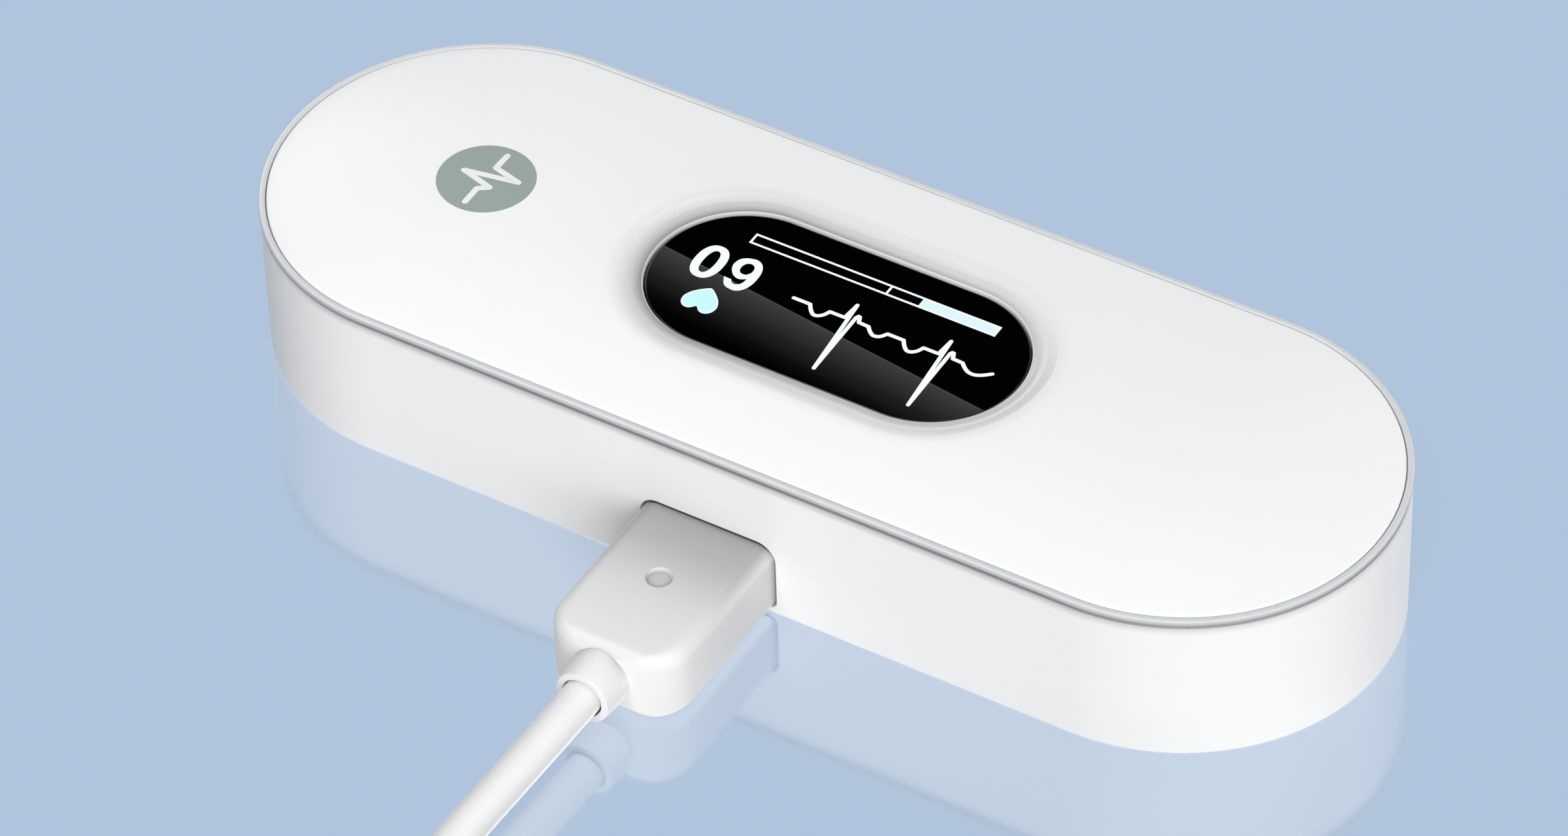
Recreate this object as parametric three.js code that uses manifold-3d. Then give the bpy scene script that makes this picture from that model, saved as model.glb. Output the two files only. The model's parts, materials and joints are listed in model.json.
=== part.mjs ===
// ECG monitor: a pill shaped handheld heart recorder that lies on its back with its charging lead plugged in.
// Lengths are millimetres. X runs along the body, Y across it, and Z up from the surface that it lies on.
// The charging port is in the -Y side, the power key in the +Y side, and the back face is at Z zero.

import * as THREE from 'three';
import { mergeVertices } from 'three/addons/utils/BufferGeometryUtils.js';
import Module from 'manifold-3d';

const wasm = await Module();
wasm.setup();

// Body
const bodyLength = 106;
const bodyWidth = 38;
const rimHeight = 15.1;
const wall = 1.8;
const floorThickness = 1.6;
const backEdgeRadius = 0.2;
const shoulderRadius = 0.35;
const floorCornerRadius = 0.8;

// Trim ring
const ringProud = 0.15;
const ringWidth = 0.8;
const ringHeight = 0.5;
const ringEdgeRadius = 0.2;

// Top cover
const coverThickness = 1.5;
const coverGap = 0.2;
const coverEdgeRadius = 0.25;
const crownRise = 1.3;

// Window in the cover
const glassLength = 34.8;
const glassWidth = 16.7;
const glassThickness = 1.1;
const glassBevel = 0.15;
const glassGap = 0.15;
const windowX = 0.9;
const windowY = 0.5;
const windowDepth = 0.95;
const dishWidth = 2.2;
const dishLip = 0.06;
const tapeThickness = 0.2;
const seatWidth = 1.2;
const seatThickness = 1;
const seatWall = 1.5;

// Snap hooks on the cover and their catches in the housing
const hookWidth = 5;
const hookThickness = 1;
const hookReach = 3.6;
const hookGap = 0.3;
const barbReach = 0.75;
const barbHeight = 1.1;
const hookNear = 14;
const hookInset = 4;

// Port and the charging plug in it
const portHeight = 4.15;
const plugWidth = 12.6;
const plugThickness = 6.55;
const plugDrop = 0.175;
const plugCornerRadius = 1.5;
const plugLowCornerRadius = 0.6;
const plugLength = 18.1;
const plugPlanRadius = 3.9;
const plugEndRadius = 1.2;
const plugFrontRadius = 0.2;
const plugInsertion = 1.35;
const portGap = 0.3;
const dimpleRadius = 1.12;
const dimpleDepth = 0.28;
const dimplePlace = 8.5;

// Oval charging connector
const contactWidth = 8.25;
const contactHeight = 2.4;
const contactReach = 6.5;
const contactSheet = 0.3;
const contactRoot = 1.2;
const contactGap = 0.2;
const socketLength = 7.7;
const socketSheet = 0.3;
const socketFaceGap = 0.3;
const tongueWidth = 6.6;
const tongueHeight = 0.7;
const tongueBase = 1.2;
const tongueRecess = 1;

// Circuit board and its screws
const boardThickness = 1;
const boardGap = 0.45;
const screwEndInset = 25.5;
const screwSideInset = 4.1;
const bossRadius = 2.2;
const pilotRadius = 0.9;
const pilotDepth = 3.4;
const screwRadius = 0.7;
const screwReach = 3.9;
const screwHeadRadius = 1.5;
const screwHeadHeight = 0.8;
const screwSlotWidth = 0.4;
const screwSlotDepth = 0.4;
const screwHoleGap = 0.3;

// Power key and its switch
const keyLength = 12;
const keyHeight = 3.6;
const keyProud = 0.1;
const keyGap = 0.25;
const keyEdgeRadius = 0.25;
const keyFlange = 0.8;
const keyFlangeThickness = 0.8;
const keyBackGap = 0.3;
const keyTravel = 0.4;
const switchLength = 6;
const switchDepth = 3.2;
const switchHeight = 3;
const plungerLength = 2.6;
const plungerHeight = 1.4;
const plungerReach = 0.9;
const plungerRoot = 0.6;
const plungerGap = 0.2;
const nubReach = 0.7;
const notchGap = 0.5;

// Display
const panelThickness = 1.4;
const panelGap = 0.3;
const trayLength = 35;
const trayWidth = 18.6;
const trayThickness = 0.8;
const trayCornerRadius = 1;
const legRadius = 1.2;
const flexWidth = 11;
const flexThickness = 0.2;
const flexGap = 0.2;
const flexGrip = 3;
const flexBulge = 1.6;
const flexFoot = 3;

// Battery
const cellThickness = 3.6;
const cellEdgeRadius = 0.8;
const cellBossGap = 1.95;
const cellSocketGap = 1.85;
const cellFarGap = 4.35;
const cellTape = 0.2;
const cellTapeInset = 2;
const fenceThickness = 1;
const fenceHeight = 2.2;
const fenceGap = 0.35;
const leadRadius = 0.5;
const leadSpread = 1.6;
const leadGap = 0.3;
const leadBulge = 0.9;
const connectorLength = 5.4;
const connectorWidth = 3.4;
const connectorHeight = 2.4;
const connectorGap = 3.6;

// Electrodes in the back
const electrodeLength = 20;
const electrodeWidth = 13;
const electrodeInset = 15.5;
const electrodeSheet = 0.6;
const electrodeEdgeRadius = 0.35;
const electrodeGap = 0.3;
const electrodeFlange = 1.1;
const sealThickness = 0.3;
const springWidth = 3;
const springThickness = 0.2;
const springFoot = 3;
const springRun = 5;
const springGap = 0.1;

// Parts on the board
const chipHeight = 1;
const chipSide = 7;
const chipY = 3;
const chipGap = 2;
const analogSide = 5;
const analogInset = 28;
const canLength = 13;
const canWidth = 10;
const canHeight = 1.8;
const canInset = 15;
const chipCornerRadius = 0.3;

// Cord
const cordRadius = 1.7;
const collarRadius = 2.7;
const collarReach = 3.1;
const collarRoot = 2;
const collarLip = 0.6;
const collarGap = 0.15;
const cordHoleGap = 0.2;
const cordHoleDepth = 1.6;
const meetingGap = 0.3;
const coilY = -83;
const coilInnerRadius = 11.4;
const coilPitch = 3.85;
const coilTurns = 7 + 4 / 9;
const tieWidth = 6;
const tieThickness = 0.6;
const tieGap = 0.3;
const tieTurn = -Math.PI * 0.6;

// Plug at the far end of the cord
const usbWidth = 15.6;
const usbThickness = 7.8;
const usbCornerRadius = 1.5;
const usbLength = 21;
const usbPlanRadius = 4;
const usbEndRadius = 1.4;
const usbFrontRadius = 0.3;
const usbShellWidth = 12;
const usbShellHeight = 4.5;
const usbShellReach = 12;
const usbShellSheet = 0.35;
const usbShellRoot = 1.5;
const usbShellCornerRadius = 0.5;
const usbInsertHeight = 1.8;
const usbInsertRecess = 0.5;
const usbContactSlot = 1.3;
const usbContactDepth = 0.25;

// Counts
const arcSteps = 18;
const smallArcSteps = 10;
const cornerSteps = 4;
const edgeSteps = 3;
const latheSteps = 20;
const screwSteps = 12;
const stepsPerLoop = 24;
const coilSides = 6;
const cordSides = 8;
const cordSteps = 22;
const tailSteps = 8;
const leadSteps = 8;

// Shares of the way across a surface, where its rings lie
const dishShares = [0, 0.16, 0.33, 0.5, 0.67, 0.84, 1];
const crownShares = [0.25, 0.5, 0.75, 0.92];
const underShares = [0.8, 0.5, 0.2];

// One named overrun takes every cut through its face and sinks every joined piece
const overrun = 0.5;

// Sizes that follow from those above
const ringRadius = bodyWidth / 2;
const halfStraight = (bodyLength - bodyWidth) / 2;
const housingRadius = ringRadius - ringProud;
const lipRadius = ringRadius - ringWidth;
const coverRadius = lipRadius - coverGap;
const cavityRadius = housingRadius - wall;
const lipTop = rimHeight - ringHeight;
const ledgeHeight = rimHeight - coverThickness;
const coverTop = rimHeight + crownRise;
const glassTop = coverTop - windowDepth;
const glassRadius = glassWidth / 2;
const glassStraight = (glassLength - glassWidth) / 2;
const windowRadius = glassRadius + glassGap;
const seatTop = glassTop - glassThickness - tapeThickness;
const seatUnder = seatTop - seatThickness;
const socketWidth = contactWidth + 2 * (contactGap + socketSheet);
const socketHeight = contactHeight + 2 * (contactGap + socketSheet);
const boardUnder = portHeight + socketHeight / 2;
const boardTop = boardUnder + boardThickness;
const boardRadius = cavityRadius - boardGap;
const screwX = bodyLength / 2 - screwEndInset;
const screwY = boardRadius - screwSideInset;
const electrodeX = bodyLength / 2 - electrodeInset;
const canX = canInset - bodyLength / 2;
const chipX = canX + (canLength + chipSide) / 2 + chipGap;
const analogX = bodyLength / 2 - analogInset;
const connectorX = -(socketWidth + connectorLength) / 2 - connectorGap;
const plugFront = -housingRadius + plugInsertion;
const socketFront = plugFront + socketFaceGap;
const cellEnd = screwX - bossRadius - cellBossGap - fenceThickness - fenceGap;
const cellNear = socketFront + socketLength + cellSocketGap + fenceThickness + fenceGap;
const cellFar = cavityRadius - cellFarGap;
const cellLength = 2 * cellEnd;
const cellWidth = cellFar - cellNear;
const cellY = (cellFar + cellNear) / 2;
const keyAxis = boardTop + switchHeight / 2;
const keyBack = cavityRadius - keyBackGap - keyFlangeThickness;
const plungerTip = keyBack - nubReach;
const switchFront = plungerTip - plungerReach;
const panelUnder = glassTop - glassThickness - panelThickness;
const panelRadius = windowRadius - seatWidth - panelGap;
const trayUnder = panelUnder - trayThickness;
const electrodeTop = floorThickness + sealThickness + electrodeSheet;
const coilOuterRadius = coilInnerRadius + (coilPitch * coilTurns) / 2;
const coilLow = tieThickness + tieGap + cordRadius;
const coilHigh = coilLow + coilPitch;
const coilCentre = new THREE.Vector2(coilOuterRadius, coilY);
const coilEndAngle = Math.PI + coilTurns * 2 * Math.PI;

// Outlines

function stadium(straight, radius, x = 0, y = 0, steps = arcSteps) {
  const points = [];
  for (const side of [1, -1]) {
    for (let step = 0; step <= steps; step += 1) {
      const angle = Math.PI * (step / steps - side / 2);
      const along = x + side * straight + radius * Math.cos(angle);
      points.push(new THREE.Vector2(along, y + radius * Math.sin(angle)));
    }
  }
  return points;
}

function roundedRectangle(width, height, radius, steps = cornerSteps, lowRadius = radius) {
  const points = [];
  const corners = [[1, -1], [1, 1], [-1, 1], [-1, -1]];
  corners.forEach(([sideX, sideY], corner) => {
    const turn = sideY < 0 ? lowRadius : radius;
    const x = sideX * (width / 2 - turn);
    const y = sideY * (height / 2 - turn);
    for (let step = 0; step <= steps; step += 1) {
      const angle = (Math.PI / 2) * (corner - 1 + step / steps);
      points.push(new THREE.Vector2(x + turn * Math.cos(angle), y + turn * Math.sin(angle)));
    }
  });
  return points;
}

function mixOutlines(from, to, share) {
  return from.map((point, index) => point.clone().lerp(to[index], share));
}

// A quarter circle as [step in, step down] pairs, from flush with the top to flush with the side
function quarterArc(radius, steps = edgeSteps) {
  return Array.from({ length: steps + 1 }, (_, step) => {
    const angle = (Math.PI / 2) * (step / steps);
    return [radius * (1 - Math.sin(angle)), radius * (1 - Math.cos(angle))];
  });
}

// A strip of even thickness along an open line, as a closed outline
function stripOutline(line, thickness) {
  const sides = [[], []];
  line.forEach((point, index) => {
    const before = line[Math.max(index - 1, 0)];
    const after = line[Math.min(index + 1, line.length - 1)];
    const along = after.clone().sub(before).normalize();
    const across = new THREE.Vector2(-along.y, along.x).multiplyScalar(thickness / 2);
    sides[0].push(point.clone().add(across));
    sides[1].unshift(point.clone().sub(across));
  });
  return sides.flat();
}

// Solids

function closedGeometry(points, faces) {
  let volume = 0;
  for (const [a, b, c] of faces) {
    volume += points[a].dot(points[b].clone().cross(points[c]));
  }
  const outward = volume < 0 ? faces.map(([a, b, c]) => [a, c, b]) : faces;
  const geometry = new THREE.BufferGeometry().setFromPoints(points);
  geometry.setIndex(outward.flat());
  return geometry;
}

function ringAt(outline, height) {
  return outline.map(({ x, y }) => {
    const z = typeof height === 'function' ? height(x, y) : height;
    return new THREE.Vector3(x, y, z);
  });
}

// Joins rings of equal length into one closed body: as a loop of rings, or capped at both ends
function loft(rings, isLoop = false) {
  const stations = rings[0].length;
  const points = rings.flat();
  const faces = [];
  const bands = isLoop ? rings.length : rings.length - 1;
  for (let band = 0; band < bands; band += 1) {
    const low = band * stations;
    const high = ((band + 1) % rings.length) * stations;
    for (let station = 0; station < stations; station += 1) {
      const next = (station + 1) % stations;
      faces.push([low + station, low + next, high + next]);
      faces.push([low + station, high + next, high + station]);
    }
  }
  if (!isLoop) {
    const lastRing = (rings.length - 1) * stations;
    for (const [first, isLow] of [[0, true], [lastRing, false]]) {
      const centre = new THREE.Vector3();
      for (let station = 0; station < stations; station += 1) {
        centre.addScaledVector(points[first + station], 1 / stations);
      }
      points.push(centre);
      for (let station = 0; station < stations; station += 1) {
        const here = first + station;
        const next = first + ((station + 1) % stations);
        faces.push(isLow ? [points.length - 1, next, here] : [points.length - 1, here, next]);
      }
    }
  }
  return closedGeometry(points, faces);
}

function prism(outline, depth, holes = []) {
  const shape = new THREE.Shape(outline);
  shape.holes = holes.map((hole) => new THREE.Path(hole));
  return new THREE.ExtrudeGeometry(shape, { depth, bevelEnabled: false });
}

function block(width, depth, height) {
  return new THREE.BoxGeometry(width, depth, height).translate(0, 0, height / 2);
}

// A cylinder that stands on Z zero
function post(radius, height, steps = screwSteps) {
  const cylinder = new THREE.CylinderGeometry(radius, radius, height, steps);
  return cylinder.rotateX(Math.PI / 2).translate(0, 0, height / 2);
}

function toSolid(geometry) {
  const bare = geometry.clone();
  bare.deleteAttribute('normal');
  bare.deleteAttribute('uv');
  const merged = mergeVertices(bare);
  return new wasm.Manifold(new wasm.Mesh({
    numProp: 3,
    vertProperties: new Float32Array(merged.attributes.position.array),
    triVerts: new Uint32Array(merged.index.array),
  }));
}

function toGeometry(solid) {
  const mesh = solid.getMesh();
  const geometry = new THREE.BufferGeometry();
  geometry.setAttribute('position', new THREE.BufferAttribute(new Float32Array(mesh.vertProperties), 3));
  geometry.setIndex(new THREE.BufferAttribute(new Uint32Array(mesh.triVerts), 1));
  return geometry;
}

function join(base, additions) {
  return toGeometry(additions.reduce((solid, addition) => solid.add(toSolid(addition)), toSolid(base)));
}

function cut(base, tools) {
  return toGeometry(tools.reduce((solid, tool) => solid.subtract(toSolid(tool)), toSolid(base)));
}

// Scene

const monitor = new THREE.Group();
monitor.name = 'ecg_monitor';

function finish(color, roughness, metalness = 0) {
  return { color, roughness, metalness };
}

const finishes = {
  whiteShell: finish(0xf2f2f1, 0.32),
  pearlTrim: finish(0xdcdcde, 0.25),
  blackGlass: finish(0x050506, 0.06),
  blackPlastic: finish(0x1b1c1e, 0.55),
  greyTape: finish(0x6f7274, 0.8),
  display: finish(0x0b0c0e, 0.2),
  amberFlex: finish(0xa8681f, 0.45),
  greenBoard: finish(0x1f5a38, 0.5),
  steel: finish(0xc4c6c9, 0.28, 1),
  gold: finish(0xcfa34a, 0.3, 1),
  cellWrap: finish(0xaeb2b6, 0.4),
  redLead: finish(0xb3221c, 0.5),
  blackLead: finish(0x161616, 0.5),
  seal: finish(0x33363a, 0.85),
  cordWhite: finish(0xeeeeec, 0.45),
  tie: finish(0x8d9195, 0.8),
};

function addPiece(name, geometry, look, parent = monitor) {
  const mesh = new THREE.Mesh(geometry, new THREE.MeshStandardMaterial(look));
  mesh.name = name;
  parent.add(mesh);
  return mesh;
}

// Housing: one moulded tub with its lip, cover ledge, bosses, fences and openings

function tubRings() {
  const rings = [];
  const outlineAt = (radius) => stadium(halfStraight, radius);
  for (const [inset, rise] of quarterArc(backEdgeRadius)) {
    rings.push(ringAt(outlineAt(housingRadius - inset), rise));
  }
  for (const [inset, drop] of quarterArc(shoulderRadius).reverse()) {
    rings.push(ringAt(outlineAt(housingRadius - inset), lipTop - drop));
  }
  rings.push(ringAt(outlineAt(lipRadius), lipTop));
  rings.push(ringAt(outlineAt(lipRadius), ledgeHeight));
  rings.push(ringAt(outlineAt(cavityRadius), ledgeHeight));
  for (const [rise, inset] of quarterArc(floorCornerRadius)) {
    rings.push(ringAt(outlineAt(cavityRadius - inset), floorThickness + rise));
  }
  return rings;
}

function hookPlaces() {
  const places = [];
  for (const side of [1, -1]) {
    for (const x of [hookInset - halfStraight, -hookNear, hookNear, halfStraight - hookInset]) {
      places.push([x, side]);
    }
  }
  return places;
}

function screwPlaces() {
  return [[-screwX, -screwY], [screwX, -screwY], [screwX, screwY], [-screwX, screwY]];
}

function portCutter() {
  const outline = roundedRectangle(
    plugWidth + 2 * portGap,
    plugThickness + 2 * portGap,
    plugCornerRadius + portGap,
    cornerSteps,
    plugLowCornerRadius + portGap,
  );
  const cutter = prism(outline, wall + 2 * overrun).rotateX(Math.PI / 2);
  return cutter.translate(0, -cavityRadius + overrun, portHeight - plugDrop);
}

function keyCutter() {
  const radius = keyHeight / 2 + keyGap;
  const outline = stadium((keyLength - keyHeight) / 2, radius, 0, 0, smallArcSteps);
  const cutter = prism(outline, wall + 2 * overrun).rotateX(-Math.PI / 2);
  return cutter.translate(0, cavityRadius - overrun, keyAxis);
}

function electrodeOutline(grow) {
  const straight = (electrodeLength - electrodeWidth) / 2;
  return stadium(straight, electrodeWidth / 2 + grow, 0, 0, smallArcSteps);
}

function electrodeCutter(side) {
  const depth = floorThickness + 2 * overrun;
  return prism(electrodeOutline(electrodeGap), depth).translate(side * electrodeX, 0, -overrun);
}

// The pocket is open to the cavity, and the barb of a hook stands in it
function catchCutter([x, side]) {
  const depth = barbReach + overrun;
  const height = barbHeight + 2 * hookGap;
  const cutter = new THREE.BoxGeometry(hookWidth + 2 * hookGap, depth, height);
  const y = side * (cavityRadius + barbReach - depth / 2);
  return cutter.translate(x, y, ledgeHeight - hookReach + barbHeight / 2);
}

function fence(x, y, width, depth) {
  return block(width, depth, fenceHeight + overrun).translate(x, y, floorThickness - overrun);
}

function housingGeometry() {
  const bossHeight = boardUnder - floorThickness;
  const bosses = screwPlaces().map(([x, y]) => (
    post(bossRadius, bossHeight + overrun).translate(x, y, floorThickness - overrun)));
  const pilots = screwPlaces().map(([x, y]) => (
    post(pilotRadius, pilotDepth + overrun).translate(x, y, boardUnder - pilotDepth)));
  const fenceX = cellLength / 2 + fenceGap + fenceThickness / 2;
  const fenceY = cellWidth / 2 + fenceGap + fenceThickness / 2;
  const fences = [
    fence(-fenceX, cellY, fenceThickness, cellWidth / 2),
    fence(fenceX, cellY, fenceThickness, cellWidth / 2),
    fence(cellLength / 4, cellY - fenceY, cellLength / 4, fenceThickness),
    fence(0, cellY + fenceY, cellLength / 2, fenceThickness),
  ];
  const tools = [portCutter(), keyCutter(), electrodeCutter(-1), electrodeCutter(1)];
  tools.push(...hookPlaces().map(catchCutter), ...pilots);
  return cut(join(loft(tubRings()), [...bosses, ...fences]), tools);
}

// Trim ring: a rounded bead on the lip of the housing

function trimRingGeometry() {
  const section = [[ringWidth, lipTop]];
  for (const [inset, rise] of quarterArc(ringEdgeRadius, 2)) {
    section.push([inset, lipTop + rise]);
  }
  for (const [inset, drop] of quarterArc(ringEdgeRadius, edgeSteps).reverse()) {
    section.push([inset, rimHeight - drop]);
  }
  for (const [inset, drop] of quarterArc(ringEdgeRadius, edgeSteps)) {
    section.push([ringWidth - inset, rimHeight - drop]);
  }
  return loft(section.map(([inset, z]) => ringAt(stadium(halfStraight, ringRadius - inset), z)), true);
}

// Top cover: a crowned shell whose surface runs down into the dished recess round its window

function crownAt(x, y) {
  const fromSpine = Math.hypot(Math.max(Math.abs(x) - halfStraight, 0), y);
  return rimHeight + crownRise * (1 - (fromSpine / coverRadius) ** 2);
}

function coverTopAt(x, y) {
  const fromSpine = Math.hypot(Math.max(Math.abs(x - windowX) - glassStraight, 0), y - windowY);
  const share = THREE.MathUtils.smoothstep(fromSpine - windowRadius, 0, dishWidth);
  return THREE.MathUtils.lerp(glassTop + dishLip, crownAt(x, y), share);
}

function windowOutline(grow) {
  return stadium(glassStraight, windowRadius + grow, windowX, windowY);
}

function coverRings() {
  const edge = stadium(halfStraight, coverRadius - coverEdgeRadius);
  const dishEdge = windowOutline(dishWidth);
  const rings = dishShares.map((share) => ringAt(windowOutline(share * dishWidth), coverTopAt));
  for (const share of crownShares) {
    rings.push(ringAt(mixOutlines(dishEdge, edge, share), coverTopAt));
  }
  for (const [inset, drop] of quarterArc(coverEdgeRadius)) {
    const z = (x, y) => crownAt(x, y) - drop;
    rings.push(ringAt(stadium(halfStraight, coverRadius - inset), z));
  }
  const under = (x, y) => crownAt(x, y) - coverThickness;
  const seatEdge = windowOutline(seatWall);
  const underEdge = stadium(halfStraight, cavityRadius - coverEdgeRadius);
  rings.push(ringAt(stadium(halfStraight, coverRadius), ledgeHeight));
  rings.push(ringAt(stadium(halfStraight, cavityRadius), ledgeHeight));
  rings.push(ringAt(underEdge, under));
  for (const share of underShares) {
    rings.push(ringAt(mixOutlines(seatEdge, underEdge, share), under));
  }
  rings.push(ringAt(seatEdge, under));
  rings.push(ringAt(seatEdge, seatUnder));
  rings.push(ringAt(windowOutline(-seatWidth), seatUnder));
  rings.push(ringAt(windowOutline(-seatWidth), seatTop));
  rings.push(ringAt(windowOutline(0), seatTop));
  return rings;
}

// A hook hangs from the cover inside the housing wall, and its barb points out into the catch
function hookGeometry([x, side]) {
  const outer = cavityRadius - hookGap;
  const inner = outer - hookThickness;
  const tip = cavityRadius + barbReach - hookGap;
  const foot = ledgeHeight - hookReach;
  const outline = [
    [inner, ledgeHeight + overrun],
    [inner, foot],
    [outer, foot],
    [tip, foot + barbHeight * 0.6],
    [tip, foot + barbHeight],
    [outer, foot + barbHeight],
    [outer, ledgeHeight + overrun],
  ].map(([y, z]) => new THREE.Vector2(side * y, z));
  const turned = side > 0 ? outline : outline.reverse();
  const hook = prism(turned, hookWidth).rotateX(Math.PI / 2).rotateZ(Math.PI / 2);
  return hook.translate(x - hookWidth / 2, 0, 0);
}

function coverGeometry() {
  return join(loft(coverRings(), true), hookPlaces().map(hookGeometry));
}

// Window glass, and the tape ring that holds it on its seat

function glassGeometry() {
  const rings = [];
  rings.push(ringAt(stadium(glassStraight, glassRadius), 0));
  rings.push(ringAt(stadium(glassStraight, glassRadius), glassThickness - glassBevel));
  rings.push(ringAt(stadium(glassStraight, glassRadius - glassBevel), glassThickness));
  return loft(rings);
}

function lensTapeGeometry() {
  const outer = stadium(glassStraight, glassRadius - glassBevel);
  const inner = stadium(glassStraight, windowRadius - seatWidth);
  return loft([
    ringAt(inner, 0),
    ringAt(outer, 0),
    ringAt(outer, tapeThickness),
    ringAt(inner, tapeThickness),
  ], true);
}

// Display tray: a plate under the panel on four legs, slotted where the flex leaves the panel

function trayGeometry() {
  const plate = prism(roundedRectangle(trayLength, trayWidth, trayCornerRadius), trayThickness);
  const legHeight = trayUnder - boardTop;
  const legs = [];
  for (const sideX of [-1, 1]) {
    for (const sideY of [-1, 1]) {
      const x = sideX * (trayLength / 2 - legRadius);
      const y = sideY * (trayWidth / 2 - legRadius);
      legs.push(post(legRadius, legHeight + overrun).translate(x, y, -legHeight));
    }
  }
  const slotDepth = trayWidth / 2 - panelRadius + flexGrip + flexGap + overrun;
  const slot = block(flexWidth + 2 * flexGap, slotDepth, trayThickness + 2 * overrun);
  slot.translate(0, slotDepth / 2 - trayWidth / 2 - overrun, -overrun);
  return cut(join(plate, legs), [slot]);
}

// The flex lies under the panel, leaves through the slot, and folds down onto the board
function flexGeometry() {
  const start = windowY - panelRadius + flexGrip;
  const outside = windowY - panelRadius - flexBulge;
  const high = panelUnder - flexThickness / 2;
  const low = boardTop + flexThickness / 2;
  const turn = (high - low) / 2;
  const middle = (high + low) / 2;
  const line = [new THREE.Vector2(start, high)];
  for (let step = 0; step <= arcSteps / 2; step += 1) {
    const angle = Math.PI * (0.5 + step / (arcSteps / 2));
    line.push(new THREE.Vector2(outside + turn * Math.cos(angle), middle + turn * Math.sin(angle)));
  }
  line.push(new THREE.Vector2(outside + flexFoot, low));
  const strip = prism(stripOutline(line, flexThickness), flexWidth);
  return strip.rotateX(Math.PI / 2).rotateZ(Math.PI / 2).translate(windowX - flexWidth / 2, 0, 0);
}

// Circuit board, cut back round the power key

function boardGeometry() {
  const holes = screwPlaces().map(([x, y]) => (
    post(screwRadius + screwHoleGap, boardThickness + 2 * overrun).translate(x, y, -overrun)));
  const notchFront = keyBack - keyTravel - notchGap;
  const notchDepth = boardRadius - notchFront + overrun;
  const notchWidth = keyLength + 2 * (keyFlange + notchGap);
  const notch = block(notchWidth, notchDepth, boardThickness + 2 * overrun);
  notch.translate(0, notchFront + notchDepth / 2, -overrun);
  return cut(prism(stadium(halfStraight, boardRadius), boardThickness), [notch, ...holes]);
}

function screwGeometry() {
  const profile = [
    [0, -screwReach],
    [screwRadius * 0.6, -screwReach],
    [screwRadius, -screwReach + screwRadius],
    [screwRadius, 0],
    [screwHeadRadius, 0],
    [screwHeadRadius, screwHeadHeight / 2],
    [screwHeadRadius * 0.75, screwHeadHeight],
    [0, screwHeadHeight],
  ].map(([x, y]) => new THREE.Vector2(x, y));
  const screw = new THREE.LatheGeometry(profile, screwSteps).rotateX(Math.PI / 2);
  const slot = new THREE.BoxGeometry(screwHeadRadius, screwSlotWidth, 2 * screwSlotDepth);
  slot.translate(0, 0, screwHeadHeight);
  return cut(screw, [slot, slot.clone().rotateZ(Math.PI / 2)]);
}

// Power key: a rounded cap in the wall, a flange behind the wall and a nub on the switch

function keyGeometry() {
  const straight = (keyLength - keyHeight) / 2;
  const radius = keyHeight / 2;
  const faceHeight = housingRadius + keyProud - keyBack;
  const outlineAt = (size) => stadium(straight, size, 0, 0, smallArcSteps);
  const rings = [
    ringAt(outlineAt(radius + keyFlange), 0),
    ringAt(outlineAt(radius + keyFlange), keyFlangeThickness),
    ringAt(outlineAt(radius), keyFlangeThickness),
  ];
  for (const [inset, drop] of quarterArc(keyEdgeRadius).reverse()) {
    rings.push(ringAt(outlineAt(radius - inset), faceHeight - drop));
  }
  const nub = prism(roundedRectangle(plungerLength, plungerHeight, chipCornerRadius), nubReach + overrun);
  return join(loft(rings), [nub.translate(0, 0, -nubReach)]);
}

function switchBodyGeometry() {
  const body = prism(roundedRectangle(switchLength, switchHeight, chipCornerRadius), switchDepth);
  const pocketDepth = plungerRoot + keyTravel + plungerGap;
  const pocket = prism(
    roundedRectangle(plungerLength + 2 * plungerGap, plungerHeight + 2 * plungerGap, chipCornerRadius),
    pocketDepth + overrun,
  );
  return cut(body, [pocket.translate(0, 0, switchDepth - pocketDepth)]);
}

// Charging socket: a folded steel shell with a moulded tongue in it

function ovalTube(width, height, sheet, length) {
  const outer = stadium((width - height) / 2, height / 2, 0, 0, smallArcSteps);
  const inner = stadium((width - height) / 2, height / 2 - sheet, 0, 0, smallArcSteps);
  return loft([ringAt(outer, 0), ringAt(outer, length), ringAt(inner, length), ringAt(inner, 0)], true);
}

function tongueGeometry() {
  const baseWidth = socketWidth - 2 * (socketSheet + contactGap);
  const baseHeight = socketHeight - 2 * (socketSheet + contactGap);
  const base = stadium((baseWidth - baseHeight) / 2, baseHeight / 2, 0, 0, smallArcSteps);
  const reach = socketLength - tongueBase - tongueRecess;
  const tongue = block(tongueWidth, tongueHeight, reach + overrun).translate(0, 0, tongueBase - overrun);
  return join(prism(base, tongueBase), [tongue]);
}

// Electrodes: pressed steel pans let into the back, each with a seal under its flange

function electrodeGeometry() {
  const rings = [];
  for (const [inset, rise] of quarterArc(electrodeEdgeRadius)) {
    rings.push(ringAt(electrodeOutline(-inset), rise));
  }
  const flangeUnder = electrodeTop - electrodeSheet;
  rings.push(ringAt(electrodeOutline(0), flangeUnder));
  rings.push(ringAt(electrodeOutline(electrodeFlange), flangeUnder));
  rings.push(ringAt(electrodeOutline(electrodeFlange), electrodeTop));
  rings.push(ringAt(electrodeOutline(-electrodeSheet), electrodeTop));
  rings.push(ringAt(electrodeOutline(-electrodeSheet), electrodeSheet));
  return loft(rings);
}

function sealGeometry() {
  const outer = electrodeOutline(electrodeFlange);
  const inner = electrodeOutline(electrodeGap);
  return loft([
    ringAt(inner, 0),
    ringAt(outer, 0),
    ringAt(outer, sealThickness),
    ringAt(inner, sealThickness),
  ], true);
}

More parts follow.
